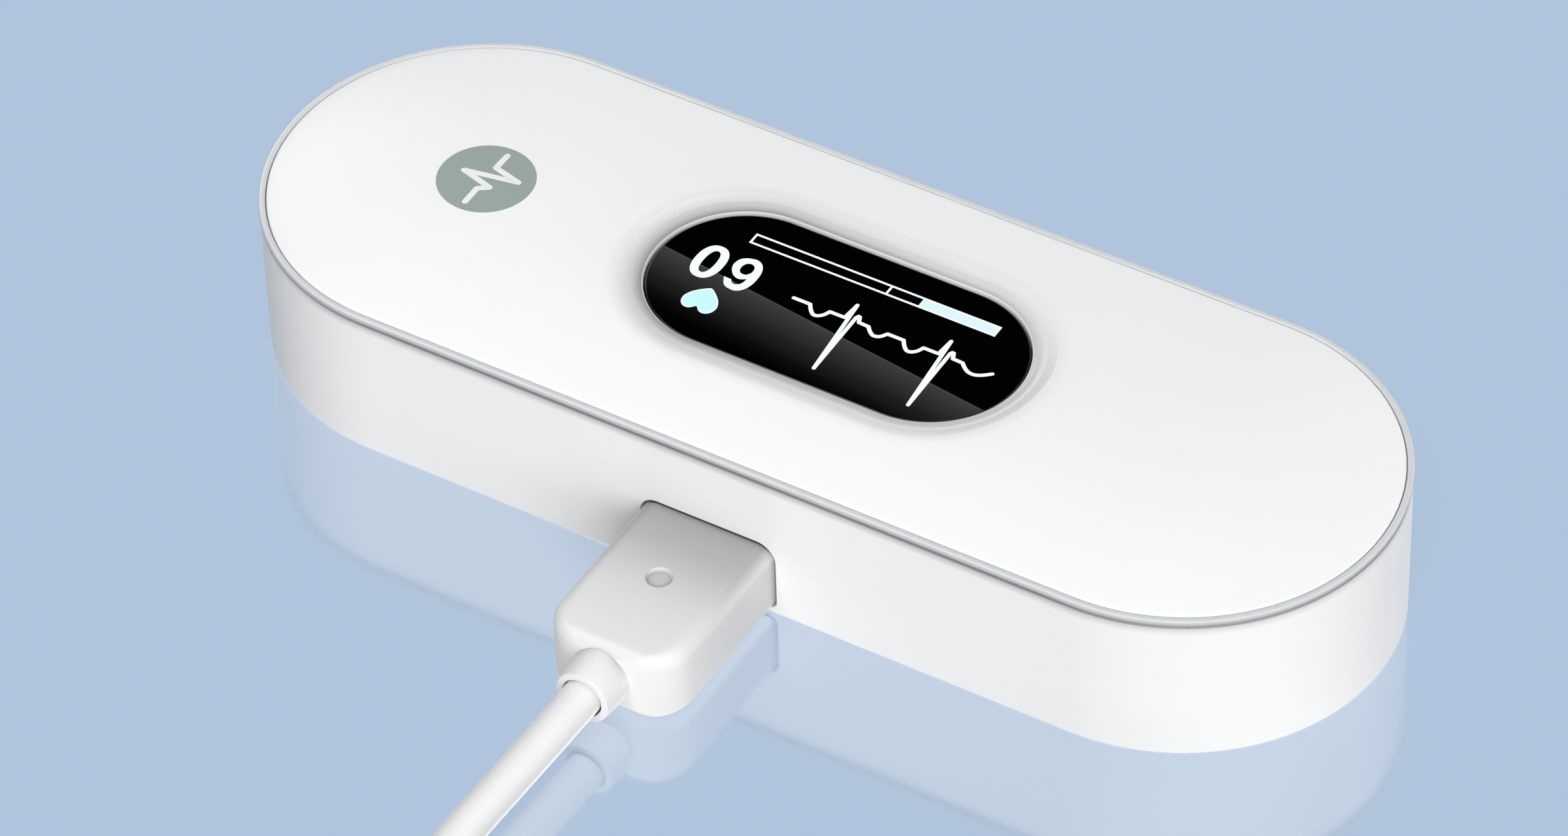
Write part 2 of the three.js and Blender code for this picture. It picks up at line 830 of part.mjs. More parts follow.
// A leaf spring that runs from the underside of the board down to the pan of an electrode
function springGeometry() {
  const high = boardUnder - springThickness / 2;
  const low = electrodeSheet + springGap + springThickness / 2;
  const line = [
    [-springFoot, high],
    [0, high],
    [springThickness * 2, high - springThickness],
    [springRun - springThickness * 2, low + springThickness],
    [springRun, low],
    [springRun + springThickness * 2, low],
    [springRun + springThickness * 6, low + springThickness * 2],
  ].map(([x, z]) => new THREE.Vector2(x, z));
  const strip = prism(stripOutline(line, springThickness), springWidth).rotateX(Math.PI / 2);
  return strip.translate(0, springWidth / 2, 0);
}

// Battery leads: two short wires from the cell to its connector

function tube(path, radius, sides, steps) {
  const section = Array.from({ length: sides }, (_, side) => {
    const angle = (2 * Math.PI * (side + 0.5)) / sides;
    return new THREE.Vector2(radius * Math.cos(angle), radius * Math.sin(angle));
  });
  return new THREE.ExtrudeGeometry(new THREE.Shape(section), {
    steps,
    extrudePath: path,
    bevelEnabled: false,
  });
}

function leadGeometry(x) {
  const start = cellY - cellWidth / 2 - leadGap;
  const end = -boardRadius + connectorWidth * 1.5 + leadGap;
  const cellMiddle = floorThickness + cellTape + cellThickness / 2;
  const connectorMiddle = boardUnder - connectorHeight / 2;
  const path = new THREE.CatmullRomCurve3([
    new THREE.Vector3(x, start, cellMiddle),
    new THREE.Vector3(x, (2 * start + end) / 3, cellMiddle - leadBulge / 2),
    new THREE.Vector3(x, (start + 2 * end) / 3, connectorMiddle - leadBulge / 2),
    new THREE.Vector3(x, end, connectorMiddle),
  ]);
  return tube(path, leadRadius, coilSides, leadSteps);
}

// Moulded plugs, drawn along Z from the front face to the cord: both ends of the lead share this form

function plugBodyRings(width, thickness, corners, length, planRadius, endRadius, frontRadius) {
  const rings = [];
  const [corner, lowCorner] = corners;
  for (const [inset, rise] of quarterArc(frontRadius, 2)) {
    const wide = width - 2 * inset;
    const high = thickness - 2 * inset;
    rings.push(ringAt(roundedRectangle(wide, high, corner, cornerSteps, lowCorner), rise));
  }
  const turnSteps = 2 * edgeSteps;
  for (let step = 0; step <= turnSteps; step += 1) {
    const angle = (Math.PI / 2) * (step / turnSteps);
    const fromEnd = planRadius * (1 - Math.sin(angle));
    const sideInset = planRadius * (1 - Math.cos(angle));
    const edgeShare = Math.max(1 - fromEnd / endRadius, 0);
    const edgeInset = endRadius * (1 - Math.sqrt(1 - edgeShare ** 2));
    const wide = width - 2 * sideInset;
    const high = thickness - 2 * edgeInset;
    rings.push(ringAt(roundedRectangle(wide, high, corner, cornerSteps, lowCorner), length - fromEnd));
  }
  return rings;
}

// The bore behind a plug takes the root of its collar
function collarBore(length) {
  const depth = collarRoot + meetingGap;
  return post(collarRadius + collarGap, depth + overrun, latheSteps).translate(0, 0, length - depth);
}

function collarGeometry() {
  const end = collarRoot + collarReach;
  const hole = cordRadius + cordHoleGap;
  const holeBottom = end - cordHoleDepth;
  const profile = [new THREE.Vector2(0, 0), new THREE.Vector2(collarRadius, 0)];
  for (const [inset, drop] of quarterArc(collarLip).reverse()) {
    profile.push(new THREE.Vector2(collarRadius - inset, end - drop));
  }
  profile.push(new THREE.Vector2(hole, end));
  profile.push(new THREE.Vector2(hole, holeBottom));
  profile.push(new THREE.Vector2(0, holeBottom));
  return new THREE.LatheGeometry(profile, latheSteps).rotateX(Math.PI / 2);
}

function chargePlugGeometry() {
  const body = loft(plugBodyRings(
    plugWidth,
    plugThickness,
    [plugCornerRadius, plugLowCornerRadius],
    plugLength,
    plugPlanRadius,
    plugEndRadius,
    plugFrontRadius,
  ));
  body.translate(0, -plugDrop, 0);
  const pocketRadius = contactHeight / 2 + contactGap;
  const pocketOutline = stadium((contactWidth - contactHeight) / 2, pocketRadius, 0, 0, smallArcSteps);
  const pocket = prism(pocketOutline, contactRoot + overrun).translate(0, 0, -overrun);
  const dimpleProfile = [
    [0, -dimpleDepth],
    [dimpleRadius * 0.7, -dimpleDepth],
    [dimpleRadius, 0],
    [dimpleRadius, overrun],
    [0, overrun],
  ].map(([x, y]) => new THREE.Vector2(x, y));
  const dimple = new THREE.LatheGeometry(dimpleProfile, latheSteps);
  dimple.translate(0, plugThickness / 2 - plugDrop, dimplePlace);
  return cut(body, [pocket, dimple, collarBore(plugLength)]);
}

function usbBodyGeometry() {
  const body = loft(plugBodyRings(
    usbWidth,
    usbThickness,
    [usbCornerRadius, usbCornerRadius],
    usbLength,
    usbPlanRadius,
    usbEndRadius,
    usbFrontRadius,
  ));
  const pocketOutline = roundedRectangle(
    usbShellWidth + 2 * contactGap,
    usbShellHeight + 2 * contactGap,
    usbShellCornerRadius + contactGap,
  );
  const pocket = prism(pocketOutline, usbShellRoot + contactGap + overrun).translate(0, 0, -overrun);
  return cut(body, [pocket, collarBore(usbLength)]);
}

function usbShellGeometry() {
  const outline = (inset) => (
    roundedRectangle(usbShellWidth - 2 * inset, usbShellHeight - 2 * inset, usbShellCornerRadius - inset));
  const length = usbShellRoot + usbShellReach;
  const outer = outline(0);
  const inner = outline(usbShellSheet);
  return loft([ringAt(outer, 0), ringAt(outer, length), ringAt(inner, length), ringAt(inner, 0)], true);
}

// The insert lies in the lower half of the shell, with a groove for each of its four contacts
function usbInsertGeometry() {
  const width = usbShellWidth - 2 * (usbShellSheet + contactGap);
  const length = usbShellRoot + usbShellReach - usbInsertRecess;
  const insert = block(width, usbInsertHeight, length);
  const grooves = [-1.5, -0.5, 0.5, 1.5].map((place) => {
    const groove = block(usbContactSlot, 2 * usbContactDepth, length - usbShellRoot + overrun);
    return groove.translate((place * width) / 4, usbInsertHeight / 2, -overrun);
  });
  return cut(insert, grooves);
}

// The coil spirals in on the surface, climbs a layer as the spiral turns back, and winds out on top

function coilPoint(turned) {
  const half = coilTurns * Math.PI;
  const fromMiddle = turned - half;
  const radius = coilInnerRadius + (coilPitch * Math.abs(fromMiddle)) / (2 * Math.PI);
  const climb = THREE.MathUtils.smoothstep(fromMiddle, -Math.PI / 2, Math.PI / 2);
  const angle = Math.PI + turned;
  return new THREE.Vector3(
    coilCentre.x + radius * Math.cos(angle),
    coilCentre.y + radius * Math.sin(angle),
    THREE.MathUtils.lerp(coilLow, coilHigh, climb),
  );
}

function coilPoints() {
  const total = coilTurns * 2 * Math.PI;
  const steps = Math.round(coilTurns * stepsPerLoop);
  const points = Array.from({ length: steps + 1 }, (_, step) => coilPoint((total * step) / steps));
  const lead = 2 * cordRadius;
  const first = points[0].clone().add(new THREE.Vector3(0, lead, 0));
  const last = points[points.length - 1].clone().addScaledVector(coilHeading(), lead);
  return [first, ...points, last];
}

// The way that the cord runs where it leaves the coil
function coilHeading() {
  return new THREE.Vector3(-Math.sin(coilEndAngle), Math.cos(coilEndAngle), 0);
}

function sweep(points, radius, sides) {
  const up = new THREE.Vector3(0, 0, 1);
  const rings = points.map((point, index) => {
    const before = points[Math.max(index - 1, 0)];
    const after = points[Math.min(index + 1, points.length - 1)];
    const along = after.clone().sub(before).normalize();
    const across = along.clone().cross(up).normalize();
    const over = across.clone().cross(along);
    return Array.from({ length: sides }, (_, side) => {
      const angle = (2 * Math.PI * side) / sides;
      const offset = across.clone().multiplyScalar(radius * Math.cos(angle));
      return point.clone().add(offset).addScaledVector(over, radius * Math.sin(angle));
    });
  });
  return loft(rings);
}

// The least distance between turns, less the cord's own thickness
function leastGap(points) {
  let least = Infinity;
  const apart = stepsPerLoop / 2;
  for (let first = 0; first < points.length; first += 1) {
    for (let second = first + apart; second < points.length; second += 1) {
      least = Math.min(least, points[first].distanceTo(points[second]));
    }
  }
  return least - 2 * cordRadius;
}

// The tie goes once round all the turns of the coil

function tieGeometry() {
  const reach = coilInnerRadius - cordRadius;
  const inner = Math.sqrt(reach ** 2 - (tieWidth / 2) ** 2) - tieGap;
  const outer = coilOuterRadius + cordRadius + tieGap;
  const low = coilLow - cordRadius - tieGap;
  const high = coilHigh + cordRadius + tieGap;
  const radius = cordRadius + tieGap;
  const hole = roundedRectangle(outer - inner, high - low, radius);
  const outline = roundedRectangle(
    outer - inner + 2 * tieThickness,
    high - low + 2 * tieThickness,
    radius + tieThickness,
  );
  const band = prism(outline, tieWidth, [hole]).rotateX(Math.PI / 2);
  return band.translate((inner + outer) / 2, tieWidth / 2, (low + high) / 2);
}

// The cord's free stretch, from the collar to the coil, as chosen points
const cordRoute = [
  [0, -37.4, 4.15],
  [0, -44, 4.15],
  [0, -50, 4.15],
  [0, -56, 4.1],
  [0, -60.5, 3.75],
  [0, -64.5, 3.2],
  [0, -68.5, 2.7],
  [0, -72.5, 2.55],
  [0, -76, 2.6],
  [0, -79.3, 2.6],
];

// The tail, from the coil to the far plug, as chosen distances along its heading and heights
const tailRoute = [
  [3.7, 6.45],
  [7.2, 6.4],
  [10.5, 5.8],
  [13.5, 4.7],
  [16.5, 4.0],
  [20.2, 3.9],
];

function pathThrough(points) {
  return new THREE.CatmullRomCurve3(points, false, 'centripetal');
}

function tailPoint([along, height]) {
  const start = coilPoint(coilTurns * 2 * Math.PI).addScaledVector(coilHeading(), along);
  return start.setZ(height);
}

// Assembly: what belongs to the body

const bodyFinish = finishes.whiteShell;
addPiece('housing', housingGeometry(), bodyFinish);
addPiece('trim_ring', trimRingGeometry(), finishes.pearlTrim);
addPiece('top_cover', coverGeometry(), bodyFinish);

const lens = addPiece('window_lens', glassGeometry(), finishes.blackGlass);
lens.position.set(windowX, windowY, glassTop - glassThickness);
const lensTape = addPiece('lens_tape', lensTapeGeometry(), finishes.greyTape);
lensTape.position.set(windowX, windowY, seatTop);

const panel = addPiece(
  'display_panel',
  prism(stadium(glassStraight, panelRadius), panelThickness),
  finishes.display,
);
panel.position.set(windowX, windowY, panelUnder);
const tray = addPiece('display_tray', trayGeometry(), finishes.blackPlastic);
tray.position.set(windowX, windowY, trayUnder);
addPiece('display_flex', flexGeometry(), finishes.amberFlex);

const board = addPiece('main_board', boardGeometry(), finishes.greenBoard);
board.position.z = boardUnder;
screwPlaces().forEach(([x, y], index) => {
  const screw = addPiece(`board_screw_${index + 1}`, screwGeometry(), finishes.steel);
  screw.position.set(x, y, boardTop);
});

function chip(side) {
  return prism(roundedRectangle(side, side, chipCornerRadius), chipHeight);
}

const controller = addPiece('controller_chip', chip(chipSide), finishes.blackPlastic);
controller.position.set(chipX, chipY, boardTop);
const analog = addPiece('heart_signal_chip', chip(analogSide), finishes.blackPlastic);
analog.position.set(analogX, 0, boardTop);
const can = addPiece(
  'radio_can',
  prism(roundedRectangle(canLength, canWidth, chipCornerRadius), canHeight),
  finishes.steel,
);
can.position.set(canX, 0, boardTop);

const switchBody = addPiece('switch_body', switchBodyGeometry(), finishes.blackPlastic);
switchBody.position.set(0, switchFront - switchDepth, keyAxis);
switchBody.rotation.x = -Math.PI / 2;

const socketShell = addPiece(
  'socket_shell',
  ovalTube(socketWidth, socketHeight, socketSheet, socketLength),
  finishes.steel,
);
socketShell.position.set(0, socketFront + socketLength, portHeight);
socketShell.rotation.x = Math.PI / 2;
const socketTongue = addPiece('socket_tongue', tongueGeometry(), finishes.blackPlastic);
socketTongue.position.copy(socketShell.position);
socketTongue.rotation.x = Math.PI / 2;

const cell = addPiece(
  'battery_cell',
  prism(roundedRectangle(cellLength, cellWidth, cellEdgeRadius), cellThickness),
  finishes.cellWrap,
);
cell.position.set(0, cellY, floorThickness + cellTape);
const cellPad = addPiece(
  'battery_tape',
  block(cellLength - 2 * cellTapeInset, cellWidth - 2 * cellTapeInset, cellTape),
  finishes.greyTape,
);
cellPad.position.set(0, cellY, floorThickness);
const connector = addPiece(
  'battery_connector',
  block(connectorLength, connectorWidth, connectorHeight),
  finishes.blackPlastic,
);
connector.position.set(connectorX, -boardRadius + connectorWidth, boardUnder - connectorHeight);
addPiece('battery_lead_red', leadGeometry(connectorX - leadSpread / 2), finishes.redLead);
addPiece('battery_lead_black', leadGeometry(connectorX + leadSpread / 2), finishes.blackLead);

for (const [sideName, side] of [['left', -1], ['right', 1]]) {
  const electrode = addPiece(`electrode_${sideName}`, electrodeGeometry(), finishes.steel);
  electrode.position.x = side * electrodeX;
  const seal = addPiece(`electrode_seal_${sideName}`, sealGeometry(), finishes.seal);
  seal.position.set(side * electrodeX, 0, floorThickness);
  const spring = addPiece(`contact_spring_${sideName}`, springGeometry(), finishes.gold);
  spring.position.x = side * electrodeX;
  spring.rotation.z = side > 0 ? 0 : Math.PI;
}

// Assembly: the power key and the plunger that it pushes

const key = addPiece('power_key', keyGeometry(), bodyFinish);
key.position.set(0, keyBack, keyAxis);
key.rotation.x = -Math.PI / 2;
const plunger = addPiece(
  'switch_plunger',
  prism(roundedRectangle(plungerLength, plungerHeight, chipCornerRadius), plungerRoot + plungerReach),
  finishes.blackPlastic,
);
plunger.position.set(0, switchFront - plungerRoot, keyAxis);
plunger.rotation.x = -Math.PI / 2;

// Assembly: the charging plug, whose Z runs back along the cord

const chargePlug = new THREE.Group();
chargePlug.position.set(0, plugFront, portHeight);
chargePlug.rotation.x = Math.PI / 2;
monitor.add(chargePlug);
addPiece('plug_body', chargePlugGeometry(), finishes.cordWhite, chargePlug);
const contactShell = addPiece(
  'plug_shell',
  ovalTube(contactWidth, contactHeight, contactSheet, contactReach + contactRoot - contactGap),
  finishes.steel,
  chargePlug,
);
contactShell.position.z = -contactReach;
const plugCollar = addPiece('plug_collar', collarGeometry(), finishes.cordWhite, chargePlug);
plugCollar.position.z = plugLength - collarRoot;

// Assembly: the cord, its coil and tie

const cordPoints = cordRoute.map(([x, y, z]) => new THREE.Vector3(x, y, z));
addPiece('cord', tube(pathThrough(cordPoints), cordRadius, cordSides, cordSteps), finishes.cordWhite);
const loops = coilPoints();
addPiece('cord_coil', sweep(loops, cordRadius, coilSides), finishes.cordWhite);
const tailPoints = tailRoute.map(tailPoint);
addPiece('cord_tail', tube(pathThrough(tailPoints), cordRadius, cordSides, tailSteps), finishes.cordWhite);
const tie = addPiece('cord_tie', tieGeometry(), finishes.tie);
tie.position.set(coilCentre.x, coilCentre.y, 0);
tie.rotation.z = tieTurn;

// Assembly: the far plug, whose Z runs back along the cord as well

const heading = coilHeading();
const tailEnd = tailPoints[tailPoints.length - 1];
const usbDirection = new THREE.Group();
const farFront = usbLength + collarReach - cordHoleDepth + meetingGap;
usbDirection.position.copy(tailEnd).addScaledVector(heading, farFront).setZ(usbThickness / 2);
usbDirection.rotation.z = Math.atan2(-heading.x, heading.y);
monitor.add(usbDirection);
const usbPlug = new THREE.Group();
usbPlug.rotation.x = Math.PI / 2;
usbDirection.add(usbPlug);
addPiece('usb_body', usbBodyGeometry(), finishes.cordWhite, usbPlug);
const usbShell = addPiece('usb_shell', usbShellGeometry(), finishes.steel, usbPlug);
usbShell.position.z = -usbShellReach;
const usbInsert = addPiece('usb_insert', usbInsertGeometry(), finishes.blackPlastic, usbPlug);
const insertDrop = (usbShellHeight - usbInsertHeight) / 2 - usbShellSheet - contactGap;
usbInsert.position.set(0, -insertDrop, -usbShellReach + usbInsertRecess);
const usbCollar = addPiece('usb_collar', collarGeometry(), finishes.cordWhite, usbPlug);
usbCollar.position.z = usbLength - collarRoot;

// What the cord measures

const lengthOf = (points) => points.slice(1).reduce((sum, point, index) => sum + point.distanceTo(points[index]), 0);
const cordLength = pathThrough(cordPoints).getLength() + lengthOf(loops) + pathThrough(tailPoints).getLength();
console.log(`cord ${cordLength.toFixed(1)} mm long, least gap of the coil to itself ${leastGap(loops).toFixed(2)} mm`);

export default monitor;
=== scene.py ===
"""Looks of the ECG monitor: fine shells, charging lead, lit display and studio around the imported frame.

Everything is in metres in the frame of the CAD model: X along the body, Y across it with the charging port
on the -Y side, and Z up from the table.
"""

import json
from math import atan2, copysign, cos, hypot, pi, radians, sin, sqrt

import bmesh
import bpy
from mathutils import Matrix, Vector

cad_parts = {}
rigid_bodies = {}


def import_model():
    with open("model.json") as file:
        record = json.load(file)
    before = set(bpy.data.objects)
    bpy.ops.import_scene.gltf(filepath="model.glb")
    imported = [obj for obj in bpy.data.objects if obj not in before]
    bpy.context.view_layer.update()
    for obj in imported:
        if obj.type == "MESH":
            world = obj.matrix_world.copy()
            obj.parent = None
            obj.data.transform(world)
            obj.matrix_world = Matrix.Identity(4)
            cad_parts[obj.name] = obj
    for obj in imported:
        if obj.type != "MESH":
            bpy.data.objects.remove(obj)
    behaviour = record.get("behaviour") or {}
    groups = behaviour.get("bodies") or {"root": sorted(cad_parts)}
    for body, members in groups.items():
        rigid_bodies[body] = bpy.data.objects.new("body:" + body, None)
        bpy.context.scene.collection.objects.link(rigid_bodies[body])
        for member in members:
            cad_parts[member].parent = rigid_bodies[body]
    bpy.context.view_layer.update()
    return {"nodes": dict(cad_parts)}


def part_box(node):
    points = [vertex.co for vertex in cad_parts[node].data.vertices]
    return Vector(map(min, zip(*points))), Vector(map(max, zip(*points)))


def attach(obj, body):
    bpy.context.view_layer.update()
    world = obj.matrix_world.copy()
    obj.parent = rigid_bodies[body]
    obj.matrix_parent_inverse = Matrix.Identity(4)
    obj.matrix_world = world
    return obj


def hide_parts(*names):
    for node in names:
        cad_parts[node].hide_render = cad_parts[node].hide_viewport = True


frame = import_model()

MM = 0.001

bpy.context.scene.view_settings.view_transform = "Standard"


def new_object(name, data):
    thing = bpy.data.objects.new(name, data)
    bpy.context.collection.objects.link(thing)
    return thing


def direction(azimuth, elevation):
    """Towards a place in the sky, in degrees: azimuth 0 is at -Y and 90 at +X."""
    turn, rise = radians(azimuth), radians(elevation)
    return Vector((sin(turn) * cos(rise), -cos(turn) * cos(rise), sin(rise)))


# Camera: where it looks, from which azimuth and elevation, how far off, and its lens on a 36 mm wide sensor

LOOK_AT = Vector((-5.377, 1.726, 0)) * MM
LOOK_FROM = (32.1675, 43.2421)
ROLL = radians(-1.8227)
DISTANCE = 658.84 * MM
LENS = 177.6


def make_camera():
    back = direction(*LOOK_FROM)
    right = Vector((0, 0, 1)).cross(back).normalized()
    turn = Matrix.Rotation(ROLL, 3, back)
    axes = Matrix((turn @ right, turn @ back.cross(right), back)).transposed()
    data = bpy.data.cameras.new("camera")
    data.lens = LENS
    data.sensor_width = 36
    data.clip_start = 0.01
    data.clip_end = 50
    camera = new_object("camera", data)
    camera.matrix_world = Matrix.Translation(LOOK_AT + back * DISTANCE) @ axes.to_4x4()
    bpy.context.scene.camera = camera
    return camera


camera = make_camera()

# Outlines, as lists of (x, y)


def stadium(straight, radius, steps=48, x=0.0, y=0.0):
    points = []
    for side in (1, -1):
        for step in range(steps + 1):
            angle = pi * (step / steps - side / 2)
            points.append((x + side * straight + radius * cos(angle), y + radius * sin(angle)))
    return points


def rounded_rectangle(width, height, radius, steps=8, low_radius=None):
    points = []
    for corner, (side_x, side_y) in enumerate(((1, -1), (1, 1), (-1, 1), (-1, -1))):
        turn = radius if low_radius is None or side_y > 0 else low_radius
        x = side_x * (width / 2 - turn)
        y = side_y * (height / 2 - turn)
        for step in range(steps + 1):
            angle = pi / 2 * (corner - 1 + step / steps)
            points.append((x + turn * cos(angle), y + turn * sin(angle)))
    return points


def corners(left, low, right, high):
    return [(left, low), (right, low), (right, high), (left, high)]


def circle(radius, steps=48):
    angles = [2 * pi * step / steps for step in range(steps)]
    return [(radius * cos(angle), radius * sin(angle)) for angle in angles]


def mixed(first, second, share):
    return [(a + (c - a) * share, b + (d - b) * share) for (a, b), (c, d) in zip(first, second)]


def quarter(radius, steps=6):
    """Pairs of (step in, step down) round a quarter circle, from flush with the top to flush with the side."""
    angles = [pi / 2 * step / steps for step in range(steps + 1)]
    return [(radius * (1 - sin(angle)), radius * (1 - cos(angle))) for angle in angles]


# Meshes

SAME_PLACE = 1e-8


def ring_at(outline, height):
    """The outline lifted to a height, which is a number or a function of x and y."""
    return [Vector((x, y, height(x, y) if callable(height) else height)) for x, y in outline]


def smooth_up_to(mesh, sharp_angle):
    mesh.shade_smooth()
    mesh.set_sharp_from_angle(angle=radians(sharp_angle))


def add_piece(name, mesh, sharp_angle=35):
    """An object from a mesh, with its faces turned outward."""
    shape = bmesh.new()
    shape.from_mesh(mesh)
    bmesh.ops.remove_doubles(shape, verts=shape.verts, dist=SAME_PLACE)
    bmesh.ops.recalc_face_normals(shape, faces=shape.faces)
    shape.to_mesh(mesh)
    shape.free()
    smooth_up_to(mesh, sharp_angle)
    return new_object(name, mesh)


def loft(name, rings, is_loop=False, sharp_angle=35):
    """A skin over rings of as many points each, closed by two caps or, as a loop, back to its first ring."""
    stations = len(rings[0])
    faces = []
    for band in range(len(rings) if is_loop else len(rings) - 1):
        low = band * stations
        high = (band + 1) % len(rings) * stations
        for station in range(stations):
            after = (station + 1) % stations
            faces.append((low + station, low + after, high + after, high + station))
    if not is_loop:
        last = (len(rings) - 1) * stations
        faces += [tuple(range(stations)), tuple(range(last, last + stations))]
    mesh = bpy.data.meshes.new(name)
    mesh.from_pydata([point for ring in rings for point in ring], [], faces)
    return add_piece(name, mesh, sharp_angle)


def lathe(name, profile, steps=48):
    """A body of revolution round Z from (radius, height) pairs, with flat caps."""
    return loft(name, [ring_at(circle(radius, steps), height) for radius, height in profile])


def add_box(name, low, high):
    outline = corners(low[0], low[1], high[0], high[1])
    return loft(name, [ring_at(outline, low[2]), ring_at(outline, high[2])])


def even_normals(thing):
    modifier = thing.modifiers.new("even_normals", "WEIGHTED_NORMAL")
    modifier.keep_sharp = True
    modifier.weight = 100
    return thing


def worked_out(thing):
    """The mesh that the piece's modifiers or curve come to."""
    bpy.context.view_layer.update()
    return bpy.data.meshes.new_from_object(thing.evaluated_get(bpy.context.evaluated_depsgraph_get()))


def carve(thing, cutters, sharp_angle=35):
    """Cuts the cutters out of the piece for good and drops them."""
    for cutter in cutters:
        modifier = thing.modifiers.new("carve", "BOOLEAN")
        modifier.operation = "DIFFERENCE"
        modifier.solver = "EXACT"
        modifier.object = cutter
    carved = worked_out(thing)
    thing.modifiers.clear()
    thing.data = carved
    smooth_up_to(carved, sharp_angle)
    for cutter in cutters:
        bpy.data.objects.remove(cutter)
    return thing


def joined(name, things):
    for thing in bpy.context.view_layer.objects:
        thing.select_set(thing in things)
    bpy.context.view_layer.objects.active = things[0]
    bpy.ops.object.join()
    things[0].name = name
    return things[0]


def place(thing, matrix):
    """Moves the piece's mesh, so that the object itself stays at the origin."""
    thing.data.transform(matrix)
    return thing


def along_y(y, z, side, x=0.0):
    """From a thing drawn along Z to one that starts at a place and runs along Y, to +Y for -1 and to -Y for 1."""
    return Matrix.Translation((x, y, z)) @ Matrix.Rotation(radians(90 * side), 4, "X")


def add_polyline(curve, points):
    spline = curve.splines.new("POLY")
    spline.points.add(len(points) - 1)
    for spot, point in zip(spline.points, points):
        spot.co = (*point, 0, 1) if len(point) == 2 else (*point, 1)
    return spline


def smooth_line(line, parts=0):
    """A smooth curve through the points, in so many parts from one to the next, or else at about even spacing."""
    points = [Vector(point) for point in line]
    first, last = points[0], points[-1]
    if not parts:
        first, last = first + (first - points[1]), last + (last - points[-2])
    curve = []
    for p0, p1, p2, p3 in zip([first] + points, points, points[1:], points[2:] + [last]):
        steps = parts or max(int((p2 - p1).length / CORD_SPACING), 1)
        for t in [step / steps for step in range(steps)]:
            curve.append(0.5 * ((2 * p1) + (p2 - p0) * t + (2 * p0 - 5 * p1 + 4 * p2 - p3) * t * t
                                + (3 * p1 - p0 - 3 * p2 + p3) * t ** 3))
    return curve + points[-1:]


# Nodes


def feed(socket, value):
    """Sets an input to a value, or links it to an output."""
    if isinstance(value, bpy.types.NodeSocket):
        socket.id_data.links.new(value, socket)
    else:
        socket.default_value = value


def set_node(node, **values):
    """Feeds the node's inputs, which have a capital and _ for a space, and sets its other values."""
    for key, value in values.items():
        if key[0].isupper():
            feed(node.inputs[key.replace("_", " ")], value)
        else:
            setattr(node, key, value)


def add_node(tree, kind, **values):
    """A new node's outputs."""
    node = tree.nodes.new(f"ShaderNode{kind}")
    set_node(node, **values)
    return node.outputs


def calc(operation, *values, kind="Math", output=0):
    """The output of a math node beside the outputs it is fed from; a value of None leaves that input alone."""
    tree = next(value.id_data for value in values if isinstance(value, bpy.types.NodeSocket))
    node = tree.nodes.new(f"ShaderNode{kind}")
    node.operation = operation
    for socket, value in zip(node.inputs, values):
        if value is not None:
            feed(socket, value)
    return node.outputs[output]


def ramp(value, stops):
    """A colour that follows a value through (position, colour) pairs; a number is a grey."""
    node = value.id_data.nodes.new("ShaderNodeValToRGB")
    feed(node.inputs[0], value)
    elements = node.color_ramp.elements
    elements.remove(elements[1])
    elements[0].position = stops[0][0]
    for index, (position, colour) in enumerate(stops):
        element = elements.new(position) if index else elements[0]
        element.color = (*colour, 1) if isinstance(colour, tuple) else (colour, colour, colour, 1)
    return node.outputs["Color"]


def spread(value, start, end, low=0.0, high=1.0):
    """A number that goes from low to high as the value goes from start to end."""
    return add_node(value.id_data, "MapRange", Value=value, From_Min=start, From_Max=end, To_Min=low,
                    To_Max=high)["Result"]


def object_place(tree):
    return add_node(tree, "TexCoord")["Object"]


def facing(tree):
    return add_node(tree, "NewGeometry")["Normal"]


def part_of(vector, axis):
    return add_node(vector.id_data, "SeparateXYZ", Vector=vector)[axis]


def place_share(tree, axis, start, end):
    """How far along an axis a point of the object lies between two places, as a share from 0 to 1."""
    return spread(part_of(object_place(tree), axis), start, end)


def noise(tree, scale, detail=3.0):
    """Noise in object space; the scale is in cells per metre."""
    return add_node(tree, "TexNoise", Vector=object_place(tree), Scale=scale, Detail=detail)["Fac"]


NOISE_LOW, NOISE_HIGH = 0.3, 0.7


def vary(source, middle, stray):
    """A number that the noise spreads round its middle."""
    return spread(source, NOISE_LOW, NOISE_HIGH, middle - stray, middle + stray)


def tint(source, colour, change):
    """A colour that the noise makes darker and lighter by that share."""
    return ramp(source, [(NOISE_LOW, shade(colour, -change)), (NOISE_HIGH, shade(colour, change))])


def shade(colour, change):
    return tuple(min(max(part * (1 + change), 0), 1) for part in colour)


def bump(source, depth):
    return add_node(source.id_data, "Bump", Height=source, Strength=1.0, Distance=depth)["Normal"]


# Painted shade: tones that darken a colour where shade falls. Pairs of (distance in mm or share, tone) say how they
# run.

# Painted shade in creases over faces that look up, such as the plug's top by the wall
CREASE_REACH = 18 * MM
CREASE_SAMPLES = 8
CREASE_FACING = (0.3, 0.9)
PAINTED_CREASE_SHADES = [(0.0, 0.0), (0.3, 0.05), (0.5, 0.44), (0.58, 0.43), (0.635, 0.455), (0.68, 0.485), (0.72, 0.5),
                (0.76, 0.52), (0.88, 0.76), (0.92, 0.88), (1.0, 0.97)]
# Painted shade round the window's recess, leaning darker to the left
PAINTED_RECESS_SHADES = [(0.0, 0.78), (0.1, 0.78), (0.15, 0.5), (0.6, 0.66), (1.0, 0.78), (1.6, 0.86), (2.2, 0.93),
                (3.2, 1.0)]
PAINTED_RECESS_LEAN = (-0.35, 0.6)
